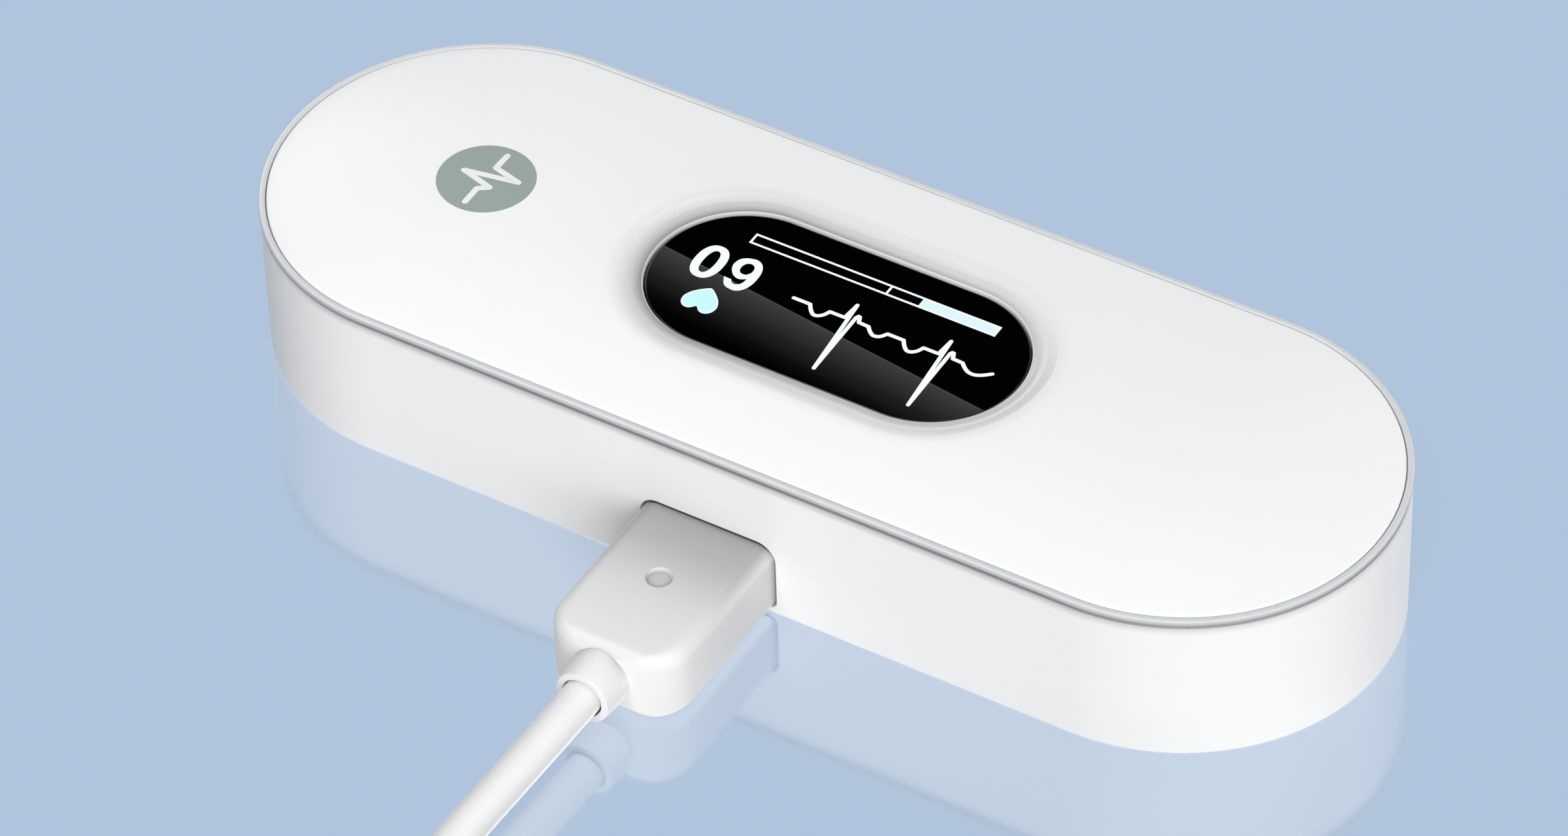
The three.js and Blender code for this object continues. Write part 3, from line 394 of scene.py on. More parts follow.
# Painted shade in the groove under the ring and down the wall below it
PAINTED_RIM_SHADES = [(1.15, 1.0), (0.9, 0.86), (0.6, 0.66), (0.36, 0.46), (0.31, 0.32), (0.0, 0.32)]
PAINTED_RIM_FADE = (30 * MM, 42 * MM)
PAINTED_RIM_POWER = (0.78, 0.42)
# Painted shade towards the lower edge of the ring
PAINTED_BEAD_SHADES = [(0.0, 0.62), (0.4, 0.78), (0.8, 0.96), (1.0, 1.0)]
# Painted shade on the plug's upright faces near the wall
PAINTED_SIDE_SHADE = 0.72
PAINTED_SIDE_REACH = 14 * MM
# Painted shadow low on the front wall beside the plug
FOOT_REACH = 16 * MM
FOOT_SAMPLES = 16
FOOT_LEAN = (1.2, 0, 0)
FOOT_FACING = (-0.7, -0.95)
FOOT_HEIGHT = (13 * MM, 4 * MM)
FOOT_CLOSED = (0.7, 0.1)
PAINTED_FOOT_SHADOW = 0.57


def toned(share, tone):
    """One where the share is zero, and the tone where it is one."""
    return calc("SUBTRACT", 1.0, calc("MULTIPLY", share, 1 - tone))


def painted_crease_shade(tree):
    """Painted shade: darker where other surfaces stand close over one that faces up, from ambient occlusion put into
    the colour.
    """
    open_share = add_node(tree, "AmbientOcclusion", samples=CREASE_SAMPLES, Distance=CREASE_REACH)["AO"]
    up = spread(part_of(facing(tree), "Z"), *CREASE_FACING)
    return add_node(tree, "Mix", Factor=up, A=1.0, B=ramp(open_share, PAINTED_CREASE_SHADES))["Result"]


def painted_recess_shade(tree):
    """Painted shade round the window: darker by the distance from its glass, more to the left than to the right."""
    centred = calc("SUBTRACT", object_place(tree), (WINDOW_X, WINDOW_Y, 0), kind="VectorMath")
    x, y = part_of(centred, "X"), part_of(centred, "Y")
    beyond = calc("MAXIMUM", calc("SUBTRACT", calc("ABSOLUTE", x), GLASS_STRAIGHT), 0.0)
    squares = calc("ADD", calc("POWER", beyond, 2.0), calc("MULTIPLY", y, y))
    edge = GLASS_RADIUS + WINDOW_GAP
    reach = PAINTED_RECESS_SHADES[-1][0] * MM
    out = spread(calc("SQRT", squares), edge, edge + reach)
    painted_shades = ramp(out, [(distance * MM / reach, tone) for distance, tone in PAINTED_RECESS_SHADES])
    end = GLASS_STRAIGHT + GLASS_RADIUS
    return calc("POWER", painted_shades, spread(x, end, -end, 1 + PAINTED_RECESS_LEAN[0], 1 + PAINTED_RECESS_LEAN[1]))


def painted_rim_shade(tree):
    """Painted shade in the groove under the ring, less round the ends, and fading out down the wall below it."""
    reach = PAINTED_RIM_SHADES[0][0] * MM
    below = place_share(tree, "Z", LIP_TOP - reach, LIP_TOP)
    painted_shades = ramp(below, [(1 - drop * MM / reach, tone) for drop, tone in PAINTED_RIM_SHADES])
    x = calc("ABSOLUTE", part_of(object_place(tree), "X"))
    return calc("POWER", painted_shades, spread(x, *PAINTED_RIM_FADE, *PAINTED_RIM_POWER))


def painted_bead_shade(tree):
    """Painted shade: darker towards the lower edge of the ring."""
    return ramp(place_share(tree, "Z", LIP_TOP, RIM_HEIGHT), PAINTED_BEAD_SHADES)


def painted_foot_shadow(tree):
    """Painted shadow: darker low on the front wall where something stands close to its right, such as the plug, from
    ambient occlusion leaning to the right.
    """
    leaning = calc("ADD", facing(tree), FOOT_LEAN, kind="VectorMath")
    leaning = calc("NORMALIZE", leaning, kind="VectorMath")
    open_share = add_node(
        tree, "AmbientOcclusion", samples=FOOT_SAMPLES, Distance=FOOT_REACH, Normal=leaning)["AO"]
    forward = spread(part_of(facing(tree), "Y"), *FOOT_FACING)
    on_foot = calc("MULTIPLY", forward, place_share(tree, "Z", *FOOT_HEIGHT))
    return toned(calc("MULTIPLY", on_foot, spread(open_share, *FOOT_CLOSED)), PAINTED_FOOT_SHADOW)


def painted_side_shade(tree):
    """Painted shade: darker on upright faces close to the wall that the plug goes into."""
    near = place_share(tree, "Y", -HOUSING_RADIUS - PAINTED_SIDE_REACH, -HOUSING_RADIUS)
    upright = calc("SUBTRACT", 1.0, calc("ABSOLUTE", part_of(facing(tree), "Z")))
    return toned(calc("MULTIPLY", near, upright), PAINTED_SIDE_SHADE)


# Kinds of material

MOTTLE_SCALE = 260.0
GLOSS_SCALE = 200.0
GLOSS_STRAY = 0.01
METAL_STRAY = 0.05
PIXEL_SCALE = 5200.0
TRACK_SCALE = 420.0


def new_material(name):
    material = bpy.data.materials.new(name)
    material.use_nodes = True
    return material, material.node_tree, material.node_tree.nodes["Principled BSDF"]


def moulded(name, colour, roughness, grain=4000.0, depth=0.3e-6, mottle=0.006, coat=0.0, sheen=0.0, painted_shades=()):
    """Moulded plastic or rubber: faint mottle, fine spark-eroded grain and uneven gloss, with any painted shade
    multiplied into its colour.
    """
    material, tree, shader = new_material(name)
    shown = tint(noise(tree, MOTTLE_SCALE), colour, mottle / 2)
    # Painted shade: each tone darkens the colour where shade falls.
    for tone in painted_shades:
        shown = calc("SCALE", shown, None, None, tone(tree), kind="VectorMath")
    set_node(shader, Base_Color=shown, Roughness=vary(noise(tree, GLOSS_SCALE), roughness, GLOSS_STRAY),
             Normal=bump(noise(tree, grain, 2.0), depth))
    if coat:
        set_node(shader, Coat_Weight=coat, Coat_Roughness=0.12)
    if sheen:
        set_node(shader, Sheen_Weight=sheen, Sheen_Roughness=0.4)
    return material


def brushed(name, colour, roughness, stretch=(1, 14, 1), scale=1800.0, depth=1.2e-6):
    """Metal with a brushed grain that runs along the axis that isn't stretched."""
    material, tree, shader = new_material(name)
    stretched = add_node(tree, "Mapping", Vector=object_place(tree), Scale=stretch)["Vector"]
    grain = add_node(tree, "TexNoise", Vector=stretched, Scale=scale, Detail=4.0)["Fac"]
    set_node(shader, Metallic=1.0, Base_Color=tint(grain, colour, METAL_STRAY),
             Roughness=vary(grain, roughness, METAL_STRAY), Normal=bump(grain, depth))
    return material


def glowing(name, colour, strength):
    """A lit part of the display: an even glow with the faint grid of its pixels."""
    material, tree, shader = new_material(name)
    grid = add_node(tree, "TexBrick", offset=0.0, Vector=object_place(tree), Scale=PIXEL_SCALE, Mortar_Size=0.03,
                    Mortar_Smooth=1.0, Color1=(*colour, 1), Color2=(*colour, 1), Brick_Width=1.0, Row_Height=1.0,
                    Mortar=(*shade(colour, -0.25), 1))
    set_node(shader, Emission_Color=grid["Color"], Emission_Strength=strength, Base_Color=(0.02, 0.02, 0.02, 1),
             Roughness=0.3)
    return material


def black_glass(name):
    """Glass over black print: a clean gloss with the faintest smears."""
    material, tree, shader = new_material(name)
    set_node(shader, Base_Color=(0.0006, 0.0006, 0.0008, 1), IOR=1.5,
             Roughness=vary(noise(tree, 120.0), 0.006, 0.006))
    return material


def solder_mask(name):
    """Green lacquer over copper tracks."""
    material, tree, shader = new_material(name)
    tracks = add_node(
        tree, "TexBrick", Vector=object_place(tree), Scale=TRACK_SCALE, Mortar_Size=0.06,
        Color1=(0.018, 0.12, 0.05, 1), Color2=(0.014, 0.1, 0.042, 1), Mortar=(0.03, 0.19, 0.075, 1))
    set_node(shader, Base_Color=tracks["Color"], Normal=bump(tracks["Fac"], 8e-6), Roughness=0.35)
    return material


def woven(name, colour):
    """The hook-and-loop band: rough loops in rows."""
    material, tree, shader = new_material(name)
    loops = noise(tree, 5200.0, 4.0)
    set_node(shader, Base_Color=tint(loops, colour, 0.4), Normal=bump(loops, 60e-6), Roughness=0.9,
             Sheen_Weight=0.3)
    return material


# Sizes that the frame gives

_, housing_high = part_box("housing")
_, ring_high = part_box("trim_ring")
_, cover_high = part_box("top_cover")
glass_low, glass_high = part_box("window_lens")
plug_low, plug_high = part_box("plug_body")
collar_low, collar_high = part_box("plug_collar")
shell_low, shell_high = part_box("plug_shell")
key_low, key_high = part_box("power_key")
electrode_low, electrode_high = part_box("electrode_right")

RING_RADIUS = ring_high.y
HALF_STRAIGHT = ring_high.x - ring_high.y
HOUSING_RADIUS = housing_high.y + 0.08 * MM
RIM_HEIGHT = ring_high.z
LIP_TOP = housing_high.z
GLASS_TOP = glass_high.z
GLASS_RADIUS = (glass_high.y - glass_low.y) / 2
GLASS_STRAIGHT = (glass_high.x - glass_low.x) / 2 - GLASS_RADIUS
WINDOW_X = (glass_high.x + glass_low.x) / 2
WINDOW_Y = (glass_high.y + glass_low.y) / 2
KEY_Z = (key_high.z + key_low.z) / 2
PLUG_WIDTH = plug_high.x - plug_low.x
PLUG_THICKNESS = plug_high.z - plug_low.z
PLUG_MIDDLE_Z = (plug_high.z + plug_low.z) / 2
PLUG_AXIS_Z = (collar_high.z + collar_low.z) / 2

# Sizes that the looks need beside them

RING_WIDTH = 0.6 * MM
RING_EDGE = 0.16 * MM
GROOVE_DEPTH = 0.6 * MM
GROOVE_HEIGHT = 0.32 * MM
COVER_GAP = 0.08 * MM
COVER_RADIUS = RING_RADIUS - RING_WIDTH - COVER_GAP
COVER_LOW = RIM_HEIGHT - 1.5 * MM
COVER_EDGE = 0.14 * MM
LIP_INSET = 0.8 * MM
CROWN_RISE = 1.3 * MM
CROWN_STEPS = 28
WINDOW_GAP = 0.12 * MM
DISH_WIDTH = 2.2 * MM
DISH_WALL = 0.2 * MM
DISH_LIP = 0.1 * MM
DISH_BANK = [(0.0, 0.0), (0.2, 0.1), (0.42, 0.38), (0.56, 0.42), (1.0, 1.0)]
DISH_STEPS = 25
GLASS_LOW = GLASS_TOP - 1.1 * MM
GLASS_EDGE = 0.15 * MM
WALL = 1.8 * MM
FLOOR = 1.6 * MM
CAVITY_RADIUS = HOUSING_RADIUS - WALL
BACK_EDGE = 0.15 * MM
PORT_GAP = 0.26 * MM
PORT_FLARE = 0.08 * MM
RIM_FLARE = 0.14 * MM
OVERRUN = 1.0 * MM
PLUG_X = -0.27 * MM
PLUG_CORNER = 1.5 * MM
PLUG_LOW_CORNER = 0.6 * MM
PLUG_GRIP = dict(width=PLUG_WIDTH, thickness=PLUG_THICKNESS, corner=PLUG_CORNER, low_corner=PLUG_LOW_CORNER,
                 length=plug_high.y - plug_low.y, plan=3.9 * MM, end=1.2 * MM, front=0.2 * MM)
KEY_RADIUS = 1.8 * MM
KEY_STRAIGHT = 4.2 * MM
KEY_GAP = 0.25 * MM
KEY_EDGE = 0.3 * MM
KEY_PROUD = 0.03 * MM
KEY_DISH = [(0.9, 0.01), (0.7, 0.06), (0.4, 0.12), (0.1, 0.15)]
ELECTRODE_GAP = 0.3 * MM
ELECTRODE_FLANGE = 1.1 * MM
ELECTRODE_RADIUS = (electrode_high.y - electrode_low.y) / 2 - ELECTRODE_FLANGE
ELECTRODE_STRAIGHT = (electrode_high.x - electrode_low.x) / 2 - ELECTRODE_FLANGE - ELECTRODE_RADIUS
ELECTRODE_X = (electrode_high.x + electrode_low.x) / 2
ELECTRODE_EDGE = 0.35 * MM
ELECTRODE_DISH = 0.08 * MM

# Materials of the pieces

WHITE = (0.90, 0.90, 0.895)
LEAD_WHITE = (0.86, 0.86, 0.85)

# The cover, housing, trim and lead materials carry painted shade in their colours.
materials = {
    "cover": moulded("cover_white", WHITE, 0.31, painted_shades=[painted_recess_shade]),
    "housing": moulded("housing_white", WHITE, 0.36, painted_shades=[painted_rim_shade, painted_foot_shadow]),
    "trim": moulded("trim_pearl", (0.66, 0.67, 0.675), 0.22, mottle=0.03, coat=0.5, painted_shades=[painted_bead_shade]),
    "glass": black_glass("window_black_glass"),
    "print": moulded("print_grey_green", (0.29, 0.35, 0.31), 0.45),
    "print_line": moulded("print_white", (0.86, 0.86, 0.85), 0.45),
    "white_glow": glowing("display_white", (0.96, 1.0, 1.0), 0.95),
    "cyan_glow": glowing("display_cyan", (0.56, 0.955, 0.975), 0.98),
    "pale_glow": glowing("display_pale", (0.76, 0.95, 1.0), 0.95),
    "lead": moulded("lead_white", LEAD_WHITE, 0.5, depth=0.6e-6, sheen=0.15, painted_shades=[painted_crease_shade, painted_side_shade]),
    "cord": moulded("cord_white", LEAD_WHITE, 0.55, depth=1e-6, sheen=0.9),
    "steel": brushed("steel_brushed", (0.60, 0.61, 0.62), 0.34),
    "connector": brushed("connector_steel", (0.63, 0.64, 0.65), 0.34, stretch=(14, 14, 1)),
    "gold": brushed("contact_gold", (0.78, 0.55, 0.22), 0.2),
    "black": moulded("black_plastic", (0.02, 0.02, 0.022), 0.5, mottle=0.2),
    "tape": moulded("foam_tape", (0.18, 0.19, 0.2), 0.85, grain=3000.0, depth=20e-6, mottle=0.2),
    "flex": moulded("flex_film", (0.42, 0.18, 0.03), 0.35, mottle=0.15),
    "board": solder_mask("board_green"),
    "wrap": brushed("cell_foil", (0.55, 0.56, 0.58), 0.42, stretch=(1, 1, 1), scale=600.0, depth=6e-6),
    "red": moulded("lead_red", (0.5, 0.02, 0.015), 0.4, mottle=0.1),
    "dark": moulded("lead_black", (0.012, 0.012, 0.012), 0.4, mottle=0.2),
    "seal": moulded("seal_rubber", (0.03, 0.035, 0.04), 0.8, mottle=0.2),
    "tie": woven("band_grey", (0.22, 0.24, 0.25)),
}


def coat_with(thing, material):
    thing.data.materials.clear()
    thing.data.materials.append(materials[material])


def dress(thing, material, body, nodes=()):
    """Gives a piece its material in its one slot and its body, and hides the nodes it stands for."""
    coat_with(thing, material)
    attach(thing, body)
    if nodes:
        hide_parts(*nodes)
    return thing


# Housing: the outer tub with its lip, and the port, key and electrode openings


def body_rings(profile):
    """Rings of the body's outline from (radius, height) pairs."""
    return [ring_at(stadium(HALF_STRAIGHT, radius), height) for radius, height in profile]


def flared_cutter(name, outline_at, gap, depth, flare):
    """A cutter along Z whose mouth flares out in a quarter circle, which rounds the opening's rim."""
    rings = [ring_at(outline_at(gap + flare), -OVERRUN), ring_at(outline_at(gap + flare), 0)]
    rings += [ring_at(outline_at(gap + inset), drop) for inset, drop in quarter(flare)[1:]]
    return loft(name, rings + [ring_at(outline_at(gap), depth + OVERRUN)])


def port_outline(gap):
    """Drawn upside down, as the cutter is turned over to run into the wall."""
    return rounded_rectangle(
        PLUG_WIDTH + 2 * gap, PLUG_THICKNESS + 2 * gap, PLUG_LOW_CORNER + gap, 8, PLUG_CORNER + gap)


def key_outline(gap):
    return stadium(KEY_STRAIGHT, KEY_RADIUS + gap, 16)


def electrode_outline(side, gap=0.0, share=1.0):
    return stadium(ELECTRODE_STRAIGHT * share, (ELECTRODE_RADIUS + gap) * share, 24, side * ELECTRODE_X)


def make_housing():
    profile = [(HOUSING_RADIUS - inset, rise) for inset, rise in quarter(BACK_EDGE)] + [
        (HOUSING_RADIUS, LIP_TOP - GROOVE_HEIGHT),
        (HOUSING_RADIUS - GROOVE_DEPTH, LIP_TOP - GROOVE_HEIGHT),
        (HOUSING_RADIUS - GROOVE_DEPTH, LIP_TOP),
        (RING_RADIUS - LIP_INSET, LIP_TOP),
        (RING_RADIUS - LIP_INSET, COVER_LOW),
        (CAVITY_RADIUS, COVER_LOW),
        (CAVITY_RADIUS, FLOOR),
    ]
    port = flared_cutter("port", port_outline, PORT_GAP, WALL, PORT_FLARE)
    place(port, along_y(-HOUSING_RADIUS, PLUG_MIDDLE_Z, -1, PLUG_X))
    key = flared_cutter("key", key_outline, KEY_GAP, WALL, RIM_FLARE)
    place(key, along_y(HOUSING_RADIUS, KEY_Z, 1))
    cutters = [port, key]
    for side in (-1, 1):
        cutters.append(flared_cutter(
            f"electrode_{side}", lambda gap: electrode_outline(side, gap), ELECTRODE_GAP, FLOOR, RIM_FLARE))
    return even_normals(carve(loft("housing_shell", body_rings(profile)), cutters))


dress(make_housing(), "housing", "monitor", ["housing"])


def make_trim_ring():
    inner = RING_RADIUS - RING_WIDTH
    profile = [(inner, LIP_TOP)]
    profile += [(RING_RADIUS - inset, LIP_TOP + rise) for inset, rise in quarter(RING_EDGE / 2, 3)]
    profile += [(RING_RADIUS - inset, RIM_HEIGHT - drop) for inset, drop in quarter(RING_EDGE)[::-1]]
    profile += [(inner + inset, RIM_HEIGHT - drop) for inset, drop in quarter(RING_EDGE)]
    return loft("trim_bead", body_rings(profile), is_loop=True, sharp_angle=50)


dress(make_trim_ring(), "trim", "monitor", ["trim_ring"])

# Top cover and the glass of its window


def crown_at(x, y):
    from_spine = hypot(max(abs(x) - HALF_STRAIGHT, 0), y)
    return RIM_HEIGHT + CROWN_RISE * (1 - (from_spine / COVER_RADIUS) ** 2)


def dish_share(out):
    """How much of the dish's depth is climbed: an inner bank, a ledge, and an outer bank up to a crisp edge."""
    for (start, low), (end, high) in zip(DISH_BANK, DISH_BANK[1:]):
        if out <= end:
            return low + (high - low) * max(out - start, 0) / (end - start)
    return 1.0


def cover_top_at(x, y):
    from_spine = hypot(max(abs(x - WINDOW_X) - GLASS_STRAIGHT, 0), y - WINDOW_Y)
    share = dish_share((from_spine - GLASS_RADIUS - WINDOW_GAP) / DISH_WIDTH)
    low = GLASS_TOP + DISH_WALL
    return low + (crown_at(x, y) - low) * share


def glass_outline(inset):
    return stadium(GLASS_STRAIGHT, GLASS_RADIUS - inset, 48, WINDOW_X, WINDOW_Y)


def window_outline(grow):
    return glass_outline(-WINDOW_GAP - grow)


def make_cover():
    edge = stadium(HALF_STRAIGHT, COVER_RADIUS - COVER_EDGE)
    dish_edge = window_outline(DISH_WIDTH)
    rings = []
    for inset, drop in quarter(DISH_LIP, 3)[::-1]:
        rings.append(ring_at(window_outline(inset), lambda x, y: cover_top_at(x, y) - drop))
    for step in range(2, DISH_STEPS + 1):
        rings.append(ring_at(window_outline(DISH_WIDTH * step / DISH_STEPS), cover_top_at))
    for step in range(1, CROWN_STEPS):
        rings.append(ring_at(mixed(dish_edge, edge, step / CROWN_STEPS), cover_top_at))
    for inset, drop in quarter(COVER_EDGE):
        rings += body_rings([(COVER_RADIUS - inset, lambda x, y: crown_at(x, y) - drop)])
    rings += body_rings([
        (COVER_RADIUS, LIP_TOP + COVER_GAP),
        (cover_high.y, LIP_TOP + COVER_GAP),
        (cover_high.y, COVER_LOW),
        (CAVITY_RADIUS, COVER_LOW),
    ])
    for grow in (DISH_WIDTH, 0):
        rings.append(ring_at(window_outline(grow), GLASS_LOW - OVERRUN))
    return loft("cover_shell", rings, is_loop=True, sharp_angle=40)


def make_glass():
    rings = [ring_at(glass_outline(0), GLASS_LOW)]
    rings += [ring_at(glass_outline(inset), GLASS_TOP - drop) for inset, drop in quarter(GLASS_EDGE)[::-1]]
    return even_normals(loft("window_glass", rings))


dress(make_cover(), "cover", "monitor", ["top_cover"])
dress(make_glass(), "glass", "monitor", ["window_lens"])

# Shown on the display, read from the far side: two figures, a heart, a bar and a heart trace.
# Places are from the middle of the window. Points of the six are shares of its half width and mm up from a level,
# and those of the heart are in mm from its tip.

SHOWN_HEIGHT = 0.02 * MM
SHOWN_LEVEL = GLASS_TOP + 0.005 * MM
FIGURE_LOW = -1.42 * MM
FIGURE_HIGH = 2.82 * MM
FIGURE_WIDTH = 2.72 * MM
FIGURE_SIDE = 0.79 * MM
FIGURE_CAP = 0.66 * MM
FIGURE_POWER = 2.3
NOUGHT_X = -12.84 * MM
SIX_X = -9.56 * MM
SIX_HOLE_X = SIX_X - 0.02 * MM
SIX_HOLE_POWER = 2.1
SIX_TAIL = [(-0.36, 0.12), (-0.66, 0.45), (-0.94, 1.14)]
SIX_INNER_TAIL = [(-0.4, 1.12), (-0.26, 0.86), (0, 0.72), (0.28, 0.94), (0.4, 1.35), (0.43, 1.8)]
SIX_BOWL = [(0.18, 0.1), (-0.14, 0), (-0.55, 0.26), (-0.88, 0.84), (-1, 1.385)]
SIX_CREST = [(-0.9, -0.705), (-0.55, -0.24)]
BOWL_LOW = 0.05 * MM
HEART_X = -10.92 * MM
HEART_TIP = -2.08 * MM
HEART_EDGE = 0.15 * MM
HEART_HALF = [(0.0, 0.0), (0.24, 0.12), (0.45, 0.28), (0.87, 0.64), (1.3, 1.13), (1.56, 1.66), (1.62, 2.08),
              (1.5, 2.56), (1.18, 2.91), (0.78, 3.02), (0.42, 2.9), (0.17, 2.64), (0.0, 2.48)]
HEART_HALF_WIDTH = 1.62
HEART_MIDDLE = 1.75
BAR_LEFT = -11.2 * MM
BAR_RIGHT = 12.65 * MM
BAR_Y = 5.04 * MM
BAR_HEIGHT = 1.3 * MM
BAR_LINE = 0.2 * MM
BAR_DIVIDER = 2.12 * MM
BAR_FILL = 5.2 * MM


def flat_piece(name, outline, holes=()):
    """A thin flat piece on the glass from an outline with holes."""
    curve = bpy.data.curves.new(name, "CURVE")
    curve.dimensions = "2D"
    curve.fill_mode = "BOTH"
    curve.extrude = SHOWN_HEIGHT / 2
    for line in (outline, *holes):
        add_polyline(curve, line).use_cyclic_u = True
    thing = new_object(name, curve)
    mesh = worked_out(thing)
    bpy.data.objects.remove(thing)
    mesh.transform(Matrix.Translation((WINDOW_X, WINDOW_Y, SHOWN_LEVEL + SHOWN_HEIGHT / 2)))
    return add_piece(name, mesh)


def squared_oval(x, low, high, width, power=FIGURE_POWER, steps=64):
    """An oval with fuller corners than an ellipse."""
    def fuller(share):
        return copysign(abs(share) ** (2 / power), share)

    angles = [2 * pi * step / steps for step in range(steps)]
    middle, half = (low + high) / 2, (high - low) / 2
    return [(x + width / 2 * fuller(cos(angle)), middle + half * fuller(sin(angle))) for angle in angles]


def figure_hole(x, low, power=FIGURE_POWER):
    return squared_oval(x, low + FIGURE_CAP, FIGURE_HIGH - FIGURE_CAP, FIGURE_WIDTH - 2 * FIGURE_SIDE, power)


def six_stroke(start, shares, level, end=()):
    """A stroke of the six from a point, through others, to a last one."""
    points = [(SIX_X + FIGURE_WIDTH / 2 * share, level + rise * MM) for share, rise in shares]
    return smooth_line([*start, *points, *end], 6)


def make_six():
    """The six stands on its head here: its bowl is on the far side and its tail curls to the near one."""
    right = [point for point in squared_oval(SIX_X, FIGURE_LOW, FIGURE_HIGH, FIGURE_WIDTH) if point[0] >= SIX_X]
    right.sort(key=lambda point: -point[1])
    tail = six_stroke(right[-1:], SIX_TAIL, FIGURE_LOW)
    inner_tail = six_stroke((), SIX_INNER_TAIL, FIGURE_LOW)
    under = six_stroke(inner_tail[-1:], SIX_BOWL, BOWL_LOW)
    crest = six_stroke(under[-1:], SIX_CREST, FIGURE_HIGH, right[:1])
    outer = right + tail[1:] + inner_tail + under[1:] + crest[1:-1]
    return flat_piece("shown_six", outer, [figure_hole(SIX_HOLE_X, BOWL_LOW, SIX_HOLE_POWER)])


def heart_outline(inset):
    """A heart that points to the far side, drawn in from its edge."""
    shrink = 1 - inset / (HEART_HALF_WIDTH * MM)
    right = [(x * shrink, HEART_MIDDLE + (y - HEART_MIDDLE) * shrink) for x, y in smooth_line(HEART_HALF, 3)]
    left = [(-x, y) for x, y in right[1:-1]][::-1]
    return [(HEART_X + x * MM, HEART_TIP - y * MM) for x, y in right + left]


def bar_outline(left, right, inset):
    return corners(left + inset, BAR_Y - BAR_HEIGHT / 2 + inset, right - inset, BAR_Y + BAR_HEIGHT / 2 - inset)


# One heartbeat of the trace in mm, from the tip of its peak: a small wave, the peak between two spikes, and a larger
# wave. The peak points to the near side, because the display is read from the far one.

BEATS = 2
BEAT_SPACING = 9.04 * MM
FIRST_PEAK = 1.52 * MM
TRACE_LINE = 0.35 * MM
TRACE_START = -4.35 * MM
SHORTEST_LINE = 1e-6
LEVEL = 0.3
FIRST_WAVE = [(-4.27, LEVEL), (-3.95, -0.18), (-3.6, -0.55), (-3.3, -0.7), (-2.95, -0.6), (-2.6, -0.25),
              (-2.36, LEVEL)]
SPIKES = [(-2.36, LEVEL), (-0.92, LEVEL), (-0.76, 2.12), (0, -6.3), (-0.08, 0.75), (0.02, 0.98), (0.16, 0.96),
          (0.26, 0.72), (0.42, LEVEL + 0.05)]
LAST_WAVE = [(1.38, LEVEL), (1.75, -0.12), (2.25, -0.45), (2.8, -0.3), (3.22, LEVEL)]
END_WAVE = [(1.38, LEVEL), (1.8, -0.1), (2.3, -0.42), (2.9, -0.48), (3.5, -0.22), (4.19, LEVEL + 0.05)]


def capsule(name, start, end, width):
    """A short thick line with round ends."""
    start, end = Vector(start), Vector(end)
    along = (end - start).normalized()
    angle = atan2(along.y, along.x)
    outline = []
    for centre, swing in ((end, -pi / 2), (start, pi / 2)):
        for step in range(9):
            turn = angle + swing + pi * step / 8
            outline.append((centre.x + width / 2 * cos(turn), centre.y + width / 2 * sin(turn)))
    piece = loft(name, [ring_at(outline, SHOWN_LEVEL), ring_at(outline, SHOWN_LEVEL + SHOWN_HEIGHT)])
    return place(piece, Matrix.Translation((WINDOW_X, WINDOW_Y, 0)))


def make_trace():
    line = [(TRACE_START, LEVEL * MM)]
    for beat in range(BEATS):
        last = LAST_WAVE if beat < BEATS - 1 else END_WAVE
        peak_x = FIRST_PEAK + beat * BEAT_SPACING
        beat_line = smooth_line(FIRST_WAVE, 3) + SPIKES + smooth_line(last, 3)
        line += [(peak_x + x * MM, y * MM) for x, y in beat_line]
    pieces = []
    for index, (start, end) in enumerate(zip(line, line[1:])):
        if (Vector(end) - Vector(start)).length > SHORTEST_LINE:
            pieces.append(capsule(f"trace_{index}", start, end, TRACE_LINE))
    return joined("shown_trace", pieces)


heart_edge = flat_piece("shown_heart_edge", heart_outline(0), [heart_outline(HEART_EDGE)])
heart = flat_piece("shown_heart", heart_outline(HEART_EDGE))
bar = flat_piece("shown_bar", bar_outline(BAR_LEFT, BAR_RIGHT, 0), [
    bar_outline(BAR_LEFT, BAR_DIVIDER + BAR_LINE / 2, BAR_LINE),
    bar_outline(BAR_DIVIDER - BAR_LINE / 2, BAR_RIGHT, BAR_LINE),
])
bar_fill = flat_piece("shown_bar_fill", bar_outline(BAR_FILL - BAR_LINE, BAR_RIGHT, BAR_LINE))
nought = flat_piece(
    "shown_nought", squared_oval(NOUGHT_X, FIGURE_LOW, FIGURE_HIGH, FIGURE_WIDTH), [figure_hole(NOUGHT_X, FIGURE_LOW)])
for shown in (nought, make_six(), heart_edge, bar, make_trace()):
    dress(shown, "white_glow", "monitor")
dress(heart, "cyan_glow", "monitor")
dress(bar_fill, "pale_glow", "monitor")

# Printed mark on the cover: a plain disc with a pulse line, whose points are shares of the disc's radius

MARK_X = -33.4 * MM
MARK_RADIUS = 4.3 * MM
MARK_LINE = 0.55 * MM
PULSE = [(0, -0.78), (0, -0.34), (0.2, -0.2), (-0.52, 0.0), (0.62, 0.2), (0, 0.36), (0, 0.78)]
PULSE_PARTS = 4
PRINT_HEIGHT = 0.012 * MM


def draped(name, outline, lift):
    """A thin print that lies on the crown of the cover."""
    rings = []
    middle = Vector((sum(x for x, y in outline), sum(y for x, y in outline))) / len(outline)
    for share in (0.02, 0.35, 0.7, 1.0):
        ring = [tuple(middle + (Vector(point) - middle) * share) for point in outline]
        rings.append(ring_at(ring, lambda x, y: crown_at(x, y) + lift))
    rings.append(ring_at(outline, lambda x, y: crown_at(x, y) - PRINT_HEIGHT))
    return loft(name, rings)


